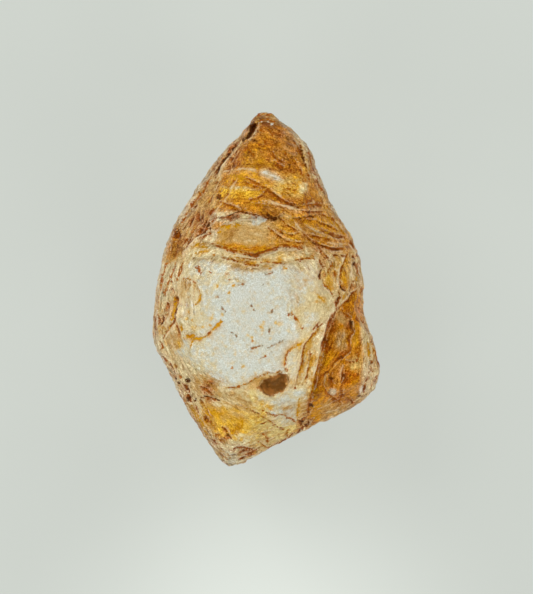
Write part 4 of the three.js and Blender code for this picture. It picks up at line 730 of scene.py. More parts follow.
FLECKS = (
    # painted highlights: white glints on the tip, laid as straw and milk flecks
    ("straw", 1, 0.11, [(-0.4, 16.85), (0.6, 16.55), (1, 17.25), (0.2, 16.85)]),
    ("milk", 0.9, 0.11, [(-0.4, 16.85), (0.6, 16.55), (1, 17.25), (0.2, 16.85)]),
    ("pitch", 1, 0.23, [(-4.65, 9.3)]),
    ("pitch", 0.8, 0.13, [(-0.5, 10.5), (2.4, 12.25), (1.6, 12.05), (1.1, 12.55)]),
    ("pitch", 0.7, 0.32, [(-8.8, 5.45)]),
    ("pitch", 0.85, 0.11, [
        (-6.3, 7.15), (-6, 6.85), (-6.2, 6.45), (-5.8, 6.15), (-6, 5.9), (-5.5, 6.15), (-6.7, 7.65),
        (-7.6, 5.05), (-8, 4.15)]),
    ("pitch", 0.6, 0.09, [
        (-5.3, 9.85), (-5.9, 9.95), (-7, 8.75), (-5.3, 7.95), (-3.3, 12.55), (-2.9, 13.75),
        (-8.9, 2.35), (-9, 1.55), (-9.4, 0.85)]),
    ("pitch", 0.7, 0.08, [(-10.05, -0.45), (-10.6, -3.15), (-10.5, -6.6)]),
    ("pitch", 0.9, 0.15, [(-8.95, -8.85), (-8.75, -9.3), (-7, -10.95), (-7.6, -10.75)]),
    ("pitch", 1, 0.22, [(-7.74, -9.05)]),
    ("pitch", 0.9, 0.19, [(4.5, -11.45), (3.6, -13.2), (4.05, -13.65), (6.5, -8.75)]),
    ("pitch", 0.7, 0.14, [(7.7, -8.45), (7.6, -10.45), (5.9, -5.15), (6.2, -5.75)]),
    ("pitch", 0.5, 0.08, [
        (-1.45, -1.65), (0.6, -2.15), (-4.7, -0.65), (2.9, 14.65), (7.05, -8.95)]),
    ("amber", 0.6, 0.09, [(-1.3, -5.05), (-3.4, -7.65), (-5.2, 3.55), (0.1, -13.65)]),
    ("gold", 0.6, 0.08, [
        (-4.8, 0.45), (-3.7, -0.25), (-3.2, 0.55), (-0.3, -4.05), (-0.5, -3.65), (1.5, -3.25),
        (-5.3, -2.85), (-5.5, -3.45), (-4.4, -3.05), (-7.6, -2.15), (-7.3, -2.95), (-0.3, -11.35)]),
    ("honey", 0.7, 0.15, [
        (-2.3, -7.65), (-3, -6.35), (-3.2, 0.55), (-2.8, 1.05), (-3.7, -0.25), (-0.4, -4.25),
        (0.9, -3.25), (-5.3, -2.85), (-4.4, -2.55), (-9.1, -7.55), (-2.4, -14.85), (-4.8, 0.45),
        (-7, -3.65), (-6.3, -2.35), (-7.8, -2.75), (-6.3, -3.65), (-1.8, -4.45), (-1.4, -4.65),
        (0.4, -4.75)]),
    ("straw", 0.7, 0.16, [
        (-2, -6.25), (-0.9, -6.15), (0, -6.45), (-4, -5.55), (-5.2, -6.15), (0.4, -4.75),
        (2.2, -3.95), (-1.8, -4.55), (-3, 1.05), (-2.2, -2.05), (-5.4, -0.45), (-4.6, 1.45),
        (-3.8, -0.95)]),
)
STROKES = (
    ((-0.4, 17.65), 170, 0.9), ((-1.8, 16.85), 225, 0.9), ((1.4, 16.85), 128, 0.8),
    ((-0.4, 15.85), 165, 0.75), ((2.6, 14.85), 130, 0.7), ((3.7, 12.55), 112, 0.95),
    ((5.2, 10.25), 118, 0.95), ((6.4, 8.45), 122, 0.9), ((-0.4, 13.05), 160, 0.8),
    ((-2.6, 12.85), 205, 0.8), ((-4.1, 13.25), 236, 1), ((-6, 10.45), 237, 1),
    ((-7.6, 7.55), 243, 1), ((-6.1, 6.55), 240, 1), ((-8.8, 4.55), 248, 0.9),
    ((-10.1, 2.85), 255, 0.55), ((-2.6, 10.85), 175, 0.8), ((-0.4, 9.65), 165, 0.8),
    ((2.4, 10.65), 158, 0.9), ((3.4, 8.75), 162, 0.95), ((-0.4, 8.25), 165, 0.9),
    ((-3.1, 8.45), 178, 0.85), ((-1.8, 5.45), 176, 0.4), ((-4.1, 5.25), 200, 0.5),
    ((-0.4, 4.05), 178, 0.5), ((-1.8, 2.85), 174, 0.7), ((-6.1, 3.65), 195, 0.7),
    ((-7.6, 2.85), 215, 0.8), ((3.4, 5.85), 155, 0.75), ((6.4, 6.45), 150, 0.9),
    ((8.4, 5.45), 125, 0.9), ((9, 2.85), 100, 1), ((9.6, 0.05), 97, 1), ((5.2, 3.65), 160, 0.7),
    ((6.6, 1.85), 110, 0.7), ((8, 1.25), 105, 0.8), ((-11.6, -2.95), 262, 0.7),
    ((-11.6, -0.95), 262, 0.6), ((-10.6, -1.95), 258, 0.9), ((-10.8, -5.95), 285, 0.9),
    ((-9.8, -8.15), 298, 0.9), ((-8.4, -10.95), 302, 1), ((-6.4, -14.35), 304, 1),
    ((-4.4, -17.35), 315, 0.9), ((-8.2, -0.95), 250, 0.5), ((-8.1, -4.95), 262, 0.55),
    ((-7.6, -8.95), 300, 0.7), ((-5.4, -10.15), 310, 0.6), ((-5.4, -12.55), 318, 0.5),
    ((-3, -12.15), 325, 0.45), ((-4, -14.75), 318, 0.7), ((-1.6, -13.95), 330, 0.5),
    ((1, -12.95), 335, 0.5), ((2.6, -11.35), 340, 0.35), ((-2.6, -17.15), 20, 0.9),
    ((0.4, -16.15), 25, 0.9), ((3.4, -14.75), 28, 1), ((6.4, -13.55), 30, 1),
    ((9.6, -11.95), 42, 1), ((-1.6, -1.95), 330, 0.15), ((-4.6, -2.95), 320, 0.2),
    ((0.4, -5.95), 345, 0.15), ((-3.6, -7.95), 335, 0.25), ((4.6, 0.05), 130, 0.35),
    ((5.2, -2.75), 60, 0.45), ((3.4, -5.45), 75, 0.45), ((3.6, -8.75), 78, 0.55),
    ((4.6, -3.95), 66, 0.5), ((6.8, -3.15), 68, 0.75), ((6, -6.15), 74, 0.85),
    ((7.8, -5.45), 66, 0.75), ((8.4, -8.15), 55, 0.8), ((6.4, -9.45), 80, 0.75),
    ((8.2, -10.15), 60, 0.8), ((5.2, -12.15), 80, 0.75), ((9.6, -3.95), 112, 0.95),
    ((10.6, -6.15), 112, 1), ((11.4, -8.75), 95, 1), ((10.8, -10.75), 65, 1),
)

# STAINS AND STYLES

STAINS = (
    "milk", "cream", "straw", "tan", "rose", "honey", "gold",
    "amber", "rust", "umber", "smoke", "mist", "olive",
)
PATCH_OF_STAIN = (3, 0, 4, 1, 5, 2, 3, 0, 5, 4, 1, 2, 0)  # which noise gathers a stain into patches

# How a mark is made. Core: width and darkness, 0 golden, 0.35 rusty and 1 black. Rim: width and
# whiteness of the crest on its left, a pale crest that is partly a painted highlight. Glow: stain,
# reach and share on its right. Step: how far its left stands above its right. Groove: its depth,
# and negative for a ridge.
Style = namedtuple("Style", "core dark rim white glow reach share step groove")
STYLES = {
    "deep": Style(0.20, 0.90, 0.14, 0.3, "rust", 0.35, 0.90, 0.15, 0.13),
    "crack": Style(0.16, 0.62, 0.13, 0.3, "rust", 0.20, 0.70, 0.06, 0.08),
    "hair": Style(0.12, 0.35, 0.0, 0.0, "tan", 0.18, 0.30, 0.0, 0.04),
    "ledge": Style(0.16, 0.55, 0.17, 0.4, "amber", 0.40, 0.90, 0.16, 0.08),
    "gold": Style(0.15, 0.45, 0.17, 0.4, "gold", 0.35, 0.95, 0.12, 0.06),
    "ochre": Style(0.16, 0.00, 0.0, 0.0, "gold", 0.20, 0.80, 0.0, 0.04),
    "rusty": Style(0.20, 0.66, 0.12, 0.3, "rust", 0.35, 0.80, 0.16, 0.08),
    "fold": Style(0.12, 0.25, 0.16, 0.4, "tan", 0.30, 0.50, 0.10, 0.05),
    # crest: a pale worn crest along a ridge, partly a painted highlight
    "crest": Style(0.0, 0.0, 0.18, 0.45, "cream", 0.22, 0.35, 0.0, -0.09),
    # glint: a painted highlight, a white line with a milky glow around it
    "glint": Style(0.0, 0.0, 0.22, 0.95, "milk", 0.26, 0.50, 0.0, -0.07),
    "rosy": Style(0.0, 0.0, 0.0, 0.0, "rose", 0.40, 0.60, 0.0, 0.0),
}


def light(red, green, blue):
    """A display colour of 0 to 255 as the linear light that the shaders use."""
    def channel(value):
        share = value / 255
        return share / 12.92 if share <= 0.04045 else ((share + 0.055) / 1.055) ** 2.4

    return channel(red), channel(green), channel(blue)


# SETTINGS


def stain_property(title, where, colour):
    return FloatVectorProperty(
        name=title, description=f"Colour of {where}", subtype="COLOR",
        size=3, min=0, max=1, default=light(*colour),
    )


class TopazSettings(bpy.types.PropertyGroup):
    grain: FloatProperty(
        name="Grain", description="Spacing of the fine surface before its upper side is refined",
        default=0.000245, min=0.00015, max=0.001, unit="LENGTH", precision=5,
    )
    unevenness: FloatProperty(
        name="Unevenness", description="How far the broken surface swells and sinks",
        default=0.00010, min=0, max=0.0005, unit="LENGTH", precision=5,
    )
    ledge_height: FloatProperty(
        name="Ledge height", description="Height of the fine ledges around the flanks",
        default=0.00014, min=0, max=0.0005, unit="LENGTH", precision=5,
    )
    ledge_spacing: FloatProperty(
        name="Ledge spacing", description="Distance between the fine ledges around the flanks",
        default=0.0010, min=0.0003, max=0.004, unit="LENGTH", precision=5,
    )
    mark_depth: FloatProperty(
        name="Mark depth", description="How strongly the drawn ledges and cracks are cut",
        default=1.0, min=0, max=2, subtype="FACTOR",
    )
    clearness: FloatProperty(
        name="Clearness", description="Share of the light that goes on into the stone",
        default=0.5, min=0, max=1, subtype="FACTOR",
    )
    refraction: FloatProperty(
        name="Refraction", description="Index of refraction of topaz", default=1.62, min=1, max=2,
    )
    gloss: FloatProperty(
        name="Gloss", description="Strength of the weathered surface's reflections",
        default=0.2, min=0, max=1, subtype="FACTOR",
    )
    glare: FloatVectorProperty(
        name="Glare", description="Tint of the reflections, warm as the iron-stained skin is",
        subtype="COLOR", size=3, min=0, max=1, default=(0.42, 0.28, 0.05),
    )
    body_density: FloatProperty(
        name="Body density", description="How strongly the inside absorbs light, per metre",
        default=160.0, min=0, max=400,
    )
    body_colour: FloatVectorProperty(
        name="Body colour", description="Colour that the inside lets through",
        subtype="COLOR", size=3, min=0, max=1, default=(0.97, 0.83, 0.28),
    )
    seed: IntProperty(name="Seed", description="Picks the natural unevenness", default=11, min=0)
    milk: stain_property("Milk", "the pale cleavage face", (198, 207, 200))
    # Cream also lies beside the crests, where it is partly a painted highlight.
    cream: stain_property("Cream", "the worn crests and bands", (216, 206, 166))
    straw: stain_property("Straw", "the pale yellowish parts", (202, 191, 150))
    tan: stain_property("Tan", "the weathered flanks", (180, 139, 68))
    rose: stain_property("Rose", "the pinkish brown parts", (190, 157, 98))
    honey: stain_property("Honey", "the yellow translucent parts", (212, 170, 50))
    gold: stain_property("Gold", "the bright iron stains", (198, 144, 4))
    amber: stain_property("Amber", "the orange translucent parts", (188, 124, 2))
    rust: stain_property("Rust", "the red-brown iron stains", (160, 80, 2))
    umber: stain_property("Umber", "the dark brown stains", (96, 34, 2))
    smoke: stain_property("Smoke", "the grey-brown window", (104, 66, 30))
    mist: stain_property("Mist", "the thin grey translucent edges", (190, 184, 162))
    olive: stain_property("Olive", "the greenish cream parts", (222, 208, 134))
    rusty_line: stain_property("Rusty line", "the rusty cracks and strokes", (158, 73, 0))
    black_line: stain_property("Black line", "the darkest cracks", (54, 12, 0))
    scratch: stain_property("Scratch", "the fine cracks in the pale face", (132, 124, 98))
    # The crest colours are partly the pale worn crests and partly painted highlights along them.
    honey_crest: stain_property("Honey crest", "the dull crests on iron stains", (230, 190, 116))
    cream_crest: stain_property("Cream crest", "the dull crests elsewhere", (230, 206, 150))
    # White crest is also the colour of the glints, which are painted highlights.
    white_crest_and_glint: stain_property("White crest", "the brightest crests", (238, 236, 222))


class StageSettings(bpy.types.PropertyGroup):
    table_colour: FloatVectorProperty(
        name="Table", description="Colour that the lit table shows", subtype="COLOR",
        size=3, min=0, max=1, default=light(204, 209, 202),
    )
    table_glow: FloatProperty(
        name="Table glow", description="Share of the table's brightness that is its own light",
        default=0.86, min=0, max=1, subtype="FACTOR",
    )
    # The pool is a painted pool of light in the table's glow.
    pool: FloatProperty(
        name="Pool", description="How much brighter the table is in front of the stone",
        default=0.30, min=0, max=1, subtype="FACTOR",
    )
    pool_y: FloatProperty(
        name="Pool y", description="Middle of the bright pool along the stone",
        default=-0.038, unit="LENGTH", precision=4,
    )
    pool_radius: FloatProperty(
        name="Pool radius", description="Size of the bright pool", default=0.027, min=0.001,
        unit="LENGTH", precision=4,
    )
    table_radius: FloatProperty(
        name="Table radius", description="Size of the table", default=2.4, min=0.1, unit="LENGTH",
    )
    camera_height: FloatProperty(
        name="Camera height", description="Height of the camera above the table",
        default=0.9, min=0.1, unit="LENGTH",
    )
    field_height: FloatProperty(
        name="Field height", description="Length that the picture takes in at the widest part",
        default=0.0594, min=0.01, unit="LENGTH", precision=4,
    )
    camera_x: FloatProperty(
        name="Camera x", description="Middle of the picture across the stone",
        default=0.00003, unit="LENGTH", precision=5,
    )
    camera_y: FloatProperty(
        name="Camera y", description="Middle of the picture along the stone",
        default=-0.00076, unit="LENGTH", precision=5,
    )
    horizon: FloatProperty(
        name="Horizon", description="Brightness of the room near the horizon", default=0.60, min=0,
    )
    zenith: FloatProperty(
        name="Zenith", description="Brightness of the room overhead", default=0.06, min=0,
    )
    lamp_power: FloatProperty(
        name="Lamp power", description="Light of each of the four soft lamps", default=4.2, min=0,
        unit="POWER",
    )


# NATURAL UNEVENNESS


SLOPES = 4096  # random slopes that the noise picks from, a power of two


def noise(points, size, seed):
    """Smooth noise of about -1 to 1 at each point, with bumps about one size across."""
    slopes = np.random.default_rng(seed).normal(size=(SLOPES, 3))
    slopes /= np.linalg.norm(slopes, axis=1)[:, None]
    place = points / size + 100.5
    cell = np.floor(place).astype(np.int64)
    inside = place - cell
    ease = inside * inside * inside * (inside * (inside * 6 - 15) + 10)
    total = np.zeros(len(points))
    for corner in itertools.product((0, 1), repeat=3):
        at = cell + corner
        pick = (at[:, 0] * 73856093 ^ at[:, 1] * 19349663 ^ at[:, 2] * 83492791) & (SLOPES - 1)
        away = inside - corner
        weight = np.where(corner, ease, 1 - ease).prod(axis=1)
        total += weight * (slopes[pick] * away).sum(axis=1)
    return total * 1.6


def layered_noise(points, size, seed, layers=3):
    """Noise with finer and weaker noise on top of it."""
    total = np.zeros(len(points))
    for layer in range(layers):
        total += noise(points, size / 2**layer, seed + layer) / 2**layer
    return total / 1.4


def smoothstep(low, high, value):
    share = np.clip((value - low) / (high - low), 0, 1)
    return share * share * (3 - 2 * share)


def settled(rise_x, rise_y, rounds=5000):
    """Heights on a grid that come nearest to rising by the given steps, found round by round."""
    height = np.zeros((len(rise_y), rise_x.shape[1]))
    neighbours = np.full(height.shape, 4.0)
    for border in (0, -1, np.s_[:, 0], np.s_[:, -1]):
        neighbours[border] -= 1
    for _ in range(rounds):
        pull = np.zeros(height.shape)
        pull[1:] += height[:-1] + rise_x
        pull[:-1] += height[1:] - rise_x
        pull[:, 1:] += height[:, :-1] + rise_y
        pull[:, :-1] += height[:, 1:] - rise_y
        height = pull / neighbours
    return height


def read_off(values, place):
    """A grid's values at places between its points."""
    cell = np.floor(place).astype(int)
    x, y = cell.T
    share_x, share_y = (place - cell).T
    left = values[x, y] * (1 - share_y) + values[x, y + 1] * share_y
    right = values[x + 1, y] * (1 - share_y) + values[x + 1, y + 1] * share_y
    return left * (1 - share_x) + right * share_x


def lie_of_strokes(plan, step=0.4):
    """Where each place lies across the fine strokes, in millimetres, and how worn it is there.

    The drawn strokes are spread over a grid, and where a place lies across them is the height of a
    slope that climbs straight across each stroke.
    """
    low, high = plan.min(axis=0) - step, plan.max(axis=0) + 2 * step
    axes = [np.arange(a, b, step) for a, b in zip(low, high)]
    grid = np.stack(np.meshgrid(*axes, indexing="ij"), axis=-1)
    across, worn, total = 0.0, 0.0, 0.0
    for place, direction, wear in STROKES:
        near = 1 / (((grid - place) ** 2).sum(axis=-1) + 0.6) ** 2
        turn = math.radians(direction + 90)
        across = across + near[..., None] * np.array([math.cos(turn), math.sin(turn)])
        worn = worn + near * wear
        total = total + near
    across /= np.maximum(np.linalg.norm(across, axis=-1), 0.3 * total)[..., None]
    rise_x = 0.5 * step * (across[1:, :, 0] + across[:-1, :, 0])
    rise_y = 0.5 * step * (across[:, 1:, 1] + across[:, :-1, 1])
    cells = (plan - low) / step
    return read_off(settled(rise_x, rise_y), cells), read_off(worn / total, cells)


# THE FINE MESH


REFINED_SLOPE = 0.34  # faces that look up more than this are refined,
REFINED_HEIGHT = 4  # if they lie this many millimetres above the seat


def fine_mesh(node, grain):
    """The solid's surface as an even mesh in millimetres, finer where it faces up."""
    coarse = node.data.copy()
    coarse.transform(Matrix.Scale(1 / MM, 4))
    helper = bpy.data.objects.new("grain", coarse)
    bpy.context.scene.collection.objects.link(helper)
    remesh = helper.modifiers.new("grain", "REMESH")
    remesh.mode = "VOXEL"
    remesh.voxel_size = grain
    graph = bpy.context.evaluated_depsgraph_get()
    even = bpy.data.meshes.new_from_object(helper.evaluated_get(graph))
    bpy.data.objects.remove(helper)
    bpy.data.meshes.remove(coarse)

    work = bmesh.new()
    work.from_mesh(even)
    bpy.data.meshes.remove(even)
    work.normal_update()
    seen = [
        face for face in work.faces
        if face.normal.z > REFINED_SLOPE and face.calc_center_median().z > REFINED_HEIGHT
    ]
    edges = list({e for f in seen for e in f.edges})
    bmesh.ops.subdivide_edges(work, edges=edges, cuts=1, use_grid_fill=True)
    bmesh.ops.triangulate(work, faces=[f for f in work.faces if len(f.verts) > 4])
    mesh = bpy.data.meshes.new("topaz_stone")
    work.to_mesh(mesh)
    work.free()
    return mesh


def coordinates(mesh):
    flat = np.empty(len(mesh.vertices) * 3)
    mesh.vertices.foreach_get("co", flat)
    return flat.reshape(-1, 3)


def set_coordinates(mesh, points):
    mesh.vertices.foreach_set("co", points.astype(np.float32).ravel())
    mesh.update()


def normals_of(mesh):
    flat = np.empty(len(mesh.vertices) * 3)
    mesh.vertex_normals.foreach_get("vector", flat)
    return flat.reshape(-1, 3)


def edges_of(mesh):
    flat = np.empty(len(mesh.edges) * 2, dtype=np.int64)
    mesh.edges.foreach_get("vertices", flat)
    return flat.reshape(-1, 2)


def averaged(values, edges, rounds, share=0.6):
    """Each vertex moved towards the middle of its neighbours, over and over."""
    count = len(values)
    start, end = edges[:, 0], edges[:, 1]
    degree = np.bincount(start, minlength=count) + np.bincount(end, minlength=count)
    share = np.broadcast_to(share, count)[:, None]
    for _ in range(rounds):
        total = np.stack([
            np.bincount(start, weights=values[end, axis], minlength=count)
            + np.bincount(end, weights=values[start, axis], minlength=count)
            for axis in range(values.shape[1])
        ], axis=1)
        values = values + share * (total / degree[:, None] - values)
    return values


def drawn_back(points, node):
    """Each point moved to the nearest place on the solid, all in millimetres."""
    corners = [v.co / MM for v in node.data.vertices]
    node.data.calc_loop_triangles()
    tree = BVHTree.FromPolygons(corners, [t.vertices[:] for t in node.data.loop_triangles])
    return np.array([tree.find_nearest(Vector(p))[0] for p in points])


def rounded(mesh):
    """The mesh with its edges rounded, most on its sides; its points and evened normals."""
    edges = edges_of(mesh)
    points = coordinates(mesh)
    facing_up = normals_of(mesh)[:, 2]
    rounding = 0.12 + 0.5 * (1 - smoothstep(0.55, 0.85, facing_up))
    rounding[(points[:, 2] < 0.05) & (facing_up < -0.9)] = 0
    points = averaged(points, edges, 9, rounding)
    set_coordinates(mesh, points)
    normals = averaged(normals_of(mesh), edges, 6)
    return points, normals / np.linalg.norm(normals, axis=1)[:, None]


# DRAWING ON THE STONE


def curved(line, step=0.2):
    """A line through the given points, rounded, with points one step apart."""
    knots = np.array(line, float)
    if len(knots) == 2:
        count = max(2, int(np.hypot(*(knots[1] - knots[0])) / step) + 1)
        return knots[0] + np.linspace(0, 1, count)[:, None] * (knots[1] - knots[0])
    padded = np.vstack([2 * knots[0] - knots[1], knots, 2 * knots[-1] - knots[-2]])
    points = []
    for before, start, end, after in zip(padded, padded[1:], padded[2:], padded[3:]):
        count = max(1, int(np.hypot(*(end - start)) / step))
        for share in np.arange(count) / count:
            points.append(0.5 * (
                2 * start + (end - before) * share
                + (2 * before - 5 * start + 4 * end - after) * share**2
                + (3 * start - before - 3 * end + after) * share**3
            ))
    return np.array(points + [knots[-1]])


def near_box(plan, form, margin):
    """Which vertices lie within a margin of the box around a form."""
    low, high = np.min(form, axis=0) - margin, np.max(form, axis=0) + margin
    return np.nonzero(((plan > low) & (plan < high)).all(axis=1))[0]


def near_line(plan, line, margin):
    """For the vertices near a line: which, how far, on which side (1 is left) and how far along."""
    near = near_box(plan, line, margin)
    place = plan[near]
    gap = np.full(len(near), np.inf)
    side = np.ones(len(near))
    along = np.zeros(len(near))
    passed = 0.0
    for start, end in zip(line[:-1], line[1:]):
        way = end - start
        length = max(np.hypot(*way), 1e-9)
        offset = place - start
        share = np.clip(offset @ way / length**2, 0, 1)
        rest = offset - share[:, None] * way
        distance = np.hypot(rest[:, 0], rest[:, 1])
        closer = distance < gap
        gap[closer] = distance[closer]
        side[closer] = np.sign(way[0] * offset[:, 1] - way[1] * offset[:, 0])[closer]
        along[closer] = passed + share[closer] * length
        passed += length
    return near, gap, side, along, passed


def inside_outline(place, outline):
    """How far each place lies inside a closed outline, negative outside."""
    corners = np.array(outline, float)
    gap = np.full(len(place), np.inf)
    inside = np.zeros(len(place), bool)
    for start, end in zip(corners, np.roll(corners, -1, axis=0)):
        way = end - start
        offset = place - start
        share = np.clip(offset @ way / (way @ way), 0, 1)
        rest = offset - share[:, None] * way
        gap = np.minimum(gap, np.hypot(rest[:, 0], rest[:, 1]))
        crosses = (start[1] > place[:, 1]) != (end[1] > place[:, 1])
        if way[1]:
            border = start[0] + way[0] * (place[:, 1] - start[1]) / way[1]
            inside ^= crosses & (place[:, 0] < border)
    return np.where(inside, gap, -gap)


SPOTS = {"gold": 0.0, "amber": 0.5, "rust": 1.0}  # stains that a crisp fleck may have, pale to dark
TONES = {"line": "dark", "crest": "white", "spot": "ripe"}  # each crisp layer and its tone's layer
EDGE_BLUR = 0.3  # millimetres on either side of a crisp mark's edge in which its cover changes
MARK_REACH = 2.1  # millimetres from a mark at which its glow ends


def crisp(depth):
    """Cover of 0 to 1 from how far each place lies inside a crisp mark."""
    return np.clip(0.5 + depth / (2 * EDGE_BLUR), 0, 1)


class Skin:
    """What is drawn on the stone, one row a vertex.

    The stains' shares add up to 1. The crisp layers line, crest, spot and window hold a cover of 0
    to 1, and dark, white and ripe hold the tone of the first three. Lift is in millimetres.
    """

    def __init__(self, points, normals, seed):
        self.points, self.normals, self.seed = points, normals, seed
        count = len(points)
        self.stains = np.zeros((count, len(STAINS)))
        for layer in ("lift", "window", *TONES, *TONES.values()):
            setattr(self, layer, np.zeros(count))
        # Uneven noise of three sizes, which the drawing below shares.
        self.fine = noise(points, 0.45, seed + 1)
        self.blotch = layered_noise(points, 1.3, seed + 2)
        self.cloud = layered_noise(points, 4.2, seed + 3)
        # Where each vertex lies in the drawings, which wander a little, and how far it faces up.
        wander = np.stack([
            0.07 * noise(points, 0.7, seed + 4 + axis) + 0.10 * noise(points, 2.2, seed + 7 + axis)
            for axis in range(2)
        ], axis=1)
        self.plan = points[:, :2] + DRAWN_MIDDLE + wander
        self.shown = smoothstep(-0.02, 0.18, normals[:, 2])
        # Where it lies across the fine strokes, and how worn it is.
        self.lie, self.wear = lie_of_strokes(points[:, :2] + DRAWN_MIDDLE)
        self.lie += 0.12 * noise(points, 1.5, seed + 12) + 0.25 * noise(points, 3.5, seed + 13)

    def strokes(self, along, across, seed):
        """Noise drawn out along the fine strokes, and around the stone where it is steep."""
        drawn = np.stack([
            self.points[:, 0] / along, self.points[:, 1] / along,
            (self.lie + 0.8 * self.points[:, 2]) / across,
        ], axis=1)
        return layered_noise(drawn, 1.0, seed, 2)

    def stain(self, name, share, near=slice(None)):
        """Lays a share of one stain over those that are there."""
        share = np.clip(share, 0, 1)
        self.stains[near] *= (1 - share)[:, None]
        self.stains[near, STAINS.index(name)] += share

    def lay(self, kind, cover, tone, near=None):
        """Lays a crisp line, crest or spot, and keeps the stronger where two meet."""
        covers, tones = getattr(self, kind), getattr(self, TONES[kind])
        near = np.arange(len(covers)) if near is None else near
        more = cover > covers[near]
        covers[near[more]] = cover[more]
        tones[near[more]] = np.clip(np.broadcast_to(tone, len(near))[more], 0, 1)

    def zone(self, stain, share, border, outline):
        """A soft stain inside an outline, uneven at its border and within."""
        near = near_box(self.plan, outline, 2 * border + 0.5)
        depth = inside_outline(self.plan[near], outline)
        depth += border * (0.55 * self.blotch[near] + 0.25 * self.fine[near])
        amount = share * smoothstep(-border, border, depth)
        amount *= 1 + 0.22 * self.blotch[near] + 0.10 * self.fine[near]
        self.stain(stain, amount * self.shown[near], near)

    def fleck(self, stain, share, radius, place):
        """A small round spot: a dark pit, a crisp iron stain or a soft stain."""
        near = near_box(self.plan, [place], 2 * radius + 0.4)
        gap = np.hypot(*(self.plan[near] - place).T) * (1 + 0.3 * self.fine[near])
        shown = self.shown[near]
        if stain == "pitch":
            self.lay("line", crisp(radius - gap) * shown, share, near)
            self.lift[near] -= 0.1 * smoothstep(1.4 * radius, 0.3 * radius, gap)
        elif stain in SPOTS:
            self.lay("spot", crisp(radius - gap) * shown, SPOTS[stain], near)
            self.stain("gold", 0.5 * share * smoothstep(2 * radius, 0, gap) * shown, near)
        else:
            self.stain(stain, share * smoothstep(1.5 * radius, 0.5 * radius, gap) * shown, near)

    def pocket(self, kind, dark, outline):
        """A crisp dark hollow, or a clear window into the stone."""
        near = near_box(self.plan, outline, 1)
        depth = inside_outline(self.plan[near], outline)
        cover = crisp(depth) * self.shown[near]
        if kind == "window":
            self.window[near] = np.maximum(self.window[near], cover)
        else:
            self.lay("line", cover, dark, near)
            self.lift[near] -= 0.45 * smoothstep(-0.05, 0.35, depth) * self.shown[near]

    def mark(self, style, width, line, depth):
        """A ledge, crack or crest along a line, with its rim on the left and glow on the right."""
        style = STYLES[style]
        near, gap, side, along, length = near_line(self.plan, curved(line), MARK_REACH + 0.1)
        shown = self.shown[near]
        ends = smoothstep(0, min(0.9, 0.3 * length), np.minimum(along, length - along))
        beat = 1 + 0.7 * self.blotch[near] + 0.35 * self.fine[near]
        core = 0.5 * style.core * width * beat * (0.35 + 0.65 * ends)
        if style.core:
            tone = style.dark * (0.75 + 0.35 * ends + 0.2 * self.blotch[near])
            self.lay("line", crisp(core - gap) * shown, tone, near)
        if style.rim:
            half = 0.5 * style.rim * width * beat * (0.3 + 0.7 * ends)
            middle = 0.5 * (style.core + style.rim) * width * bool(style.core)
            away = np.abs(side * gap - middle)
            self.lay("crest", crisp(half - away) * shown, style.white, near)
        if style.reach:
            reach = style.reach * (0.5 + 0.5 * width)
            fade = np.exp(-np.maximum(gap - core, 0) / reach)
            both = np.where(side < 0, 1.0, 0.25) if style.core else 1.0
            amount = style.share * fade * both * ends * (1 + 0.35 * self.blotch[near])
            amount[gap > MARK_REACH] = 0
            self.stain(style.glow, amount * shown, near)
        step = style.step * np.where(side > 0, 1, -1) * np.exp(-gap / 0.8) * 0.5
        groove = style.groove * width * np.exp(-((gap / (0.10 + 0.6 * style.core)) ** 2))
        self.lift[near] += depth * ends * shown * (step - groove)


# WHAT COVERS THE STONE ALL AROUND


def draw_ground(skin):
    """The weathered skin under all that is drawn: tan and cream, with warm and pale clouds."""

    def cloud(size, number):
        return layered_noise(skin.points, size, skin.seed + number)

    skin.stain("tan", np.ones(len(skin.points)))
    skin.stain("cream", 0.45 + 0.45 * skin.cloud + 0.2 * skin.blotch)
    warmth = cloud(5.0, 20)
    skin.stain("honey", 0.55 * smoothstep(0.05, 0.5, warmth))
    skin.stain("rose", 0.5 * smoothstep(0.05, 0.5, -warmth) * (0.7 + 0.3 * skin.blotch))
    skin.stain("mist", 0.7 * smoothstep(0.25, 0.6, cloud(6.0, 30)))
    skin.stain("amber", 0.65 * smoothstep(0.2, 0.55, cloud(4.0, 40)))


def draw_ledges(skin, height, spacing):
    """Fine broken ledges that run round the flanks, with rust caught under each."""
    on_flank = 1 - smoothstep(0.30, 0.75, skin.normals[:, 2])
    off_seat = smoothstep(-0.97, -0.85, skin.normals[:, 2])
    lie = np.array([0.06, 0.12, 0.99])  # the ledges lean a little
    level = (skin.points @ lie + 0.55 * skin.cloud + 0.12 * skin.blotch) / spacing
    level = level + 0.35 * np.sin(1.9 * level) + 0.2 * np.sin(0.83 * level + 1)
    tooth = level - np.floor(level)
    kept = smoothstep(-0.25, 0.25, noise(skin.points, 3.1, skin.seed + 50) + 0.25 * skin.blotch)
    strength = on_flank * kept * off_seat
    skin.lift += height * strength * (0.5 - tooth)

    near_edge = np.minimum(tooth, 1 - tooth) * spacing
    strong = strength > 0.45
    rusty = smoothstep(0.1, 0.4, noise(skin.points, 1.7, skin.seed + 55) + 0.2)
    line = crisp(0.05 * (1 + skin.fine) - near_edge) * strong * rusty
    skin.lay("line", line, 0.45 + 0.3 * skin.blotch)
    # a pale line along each ledge's upper edge, partly a painted highlight
    crest = crisp(0.07 - np.abs(near_edge - 0.2)) * strong * (tooth < 0.5)
    skin.lay("crest", crest, 0.25)
    skin.stain("rust", 0.35 * strength * rusty * np.exp(-(1 - tooth) * spacing / 0.25))


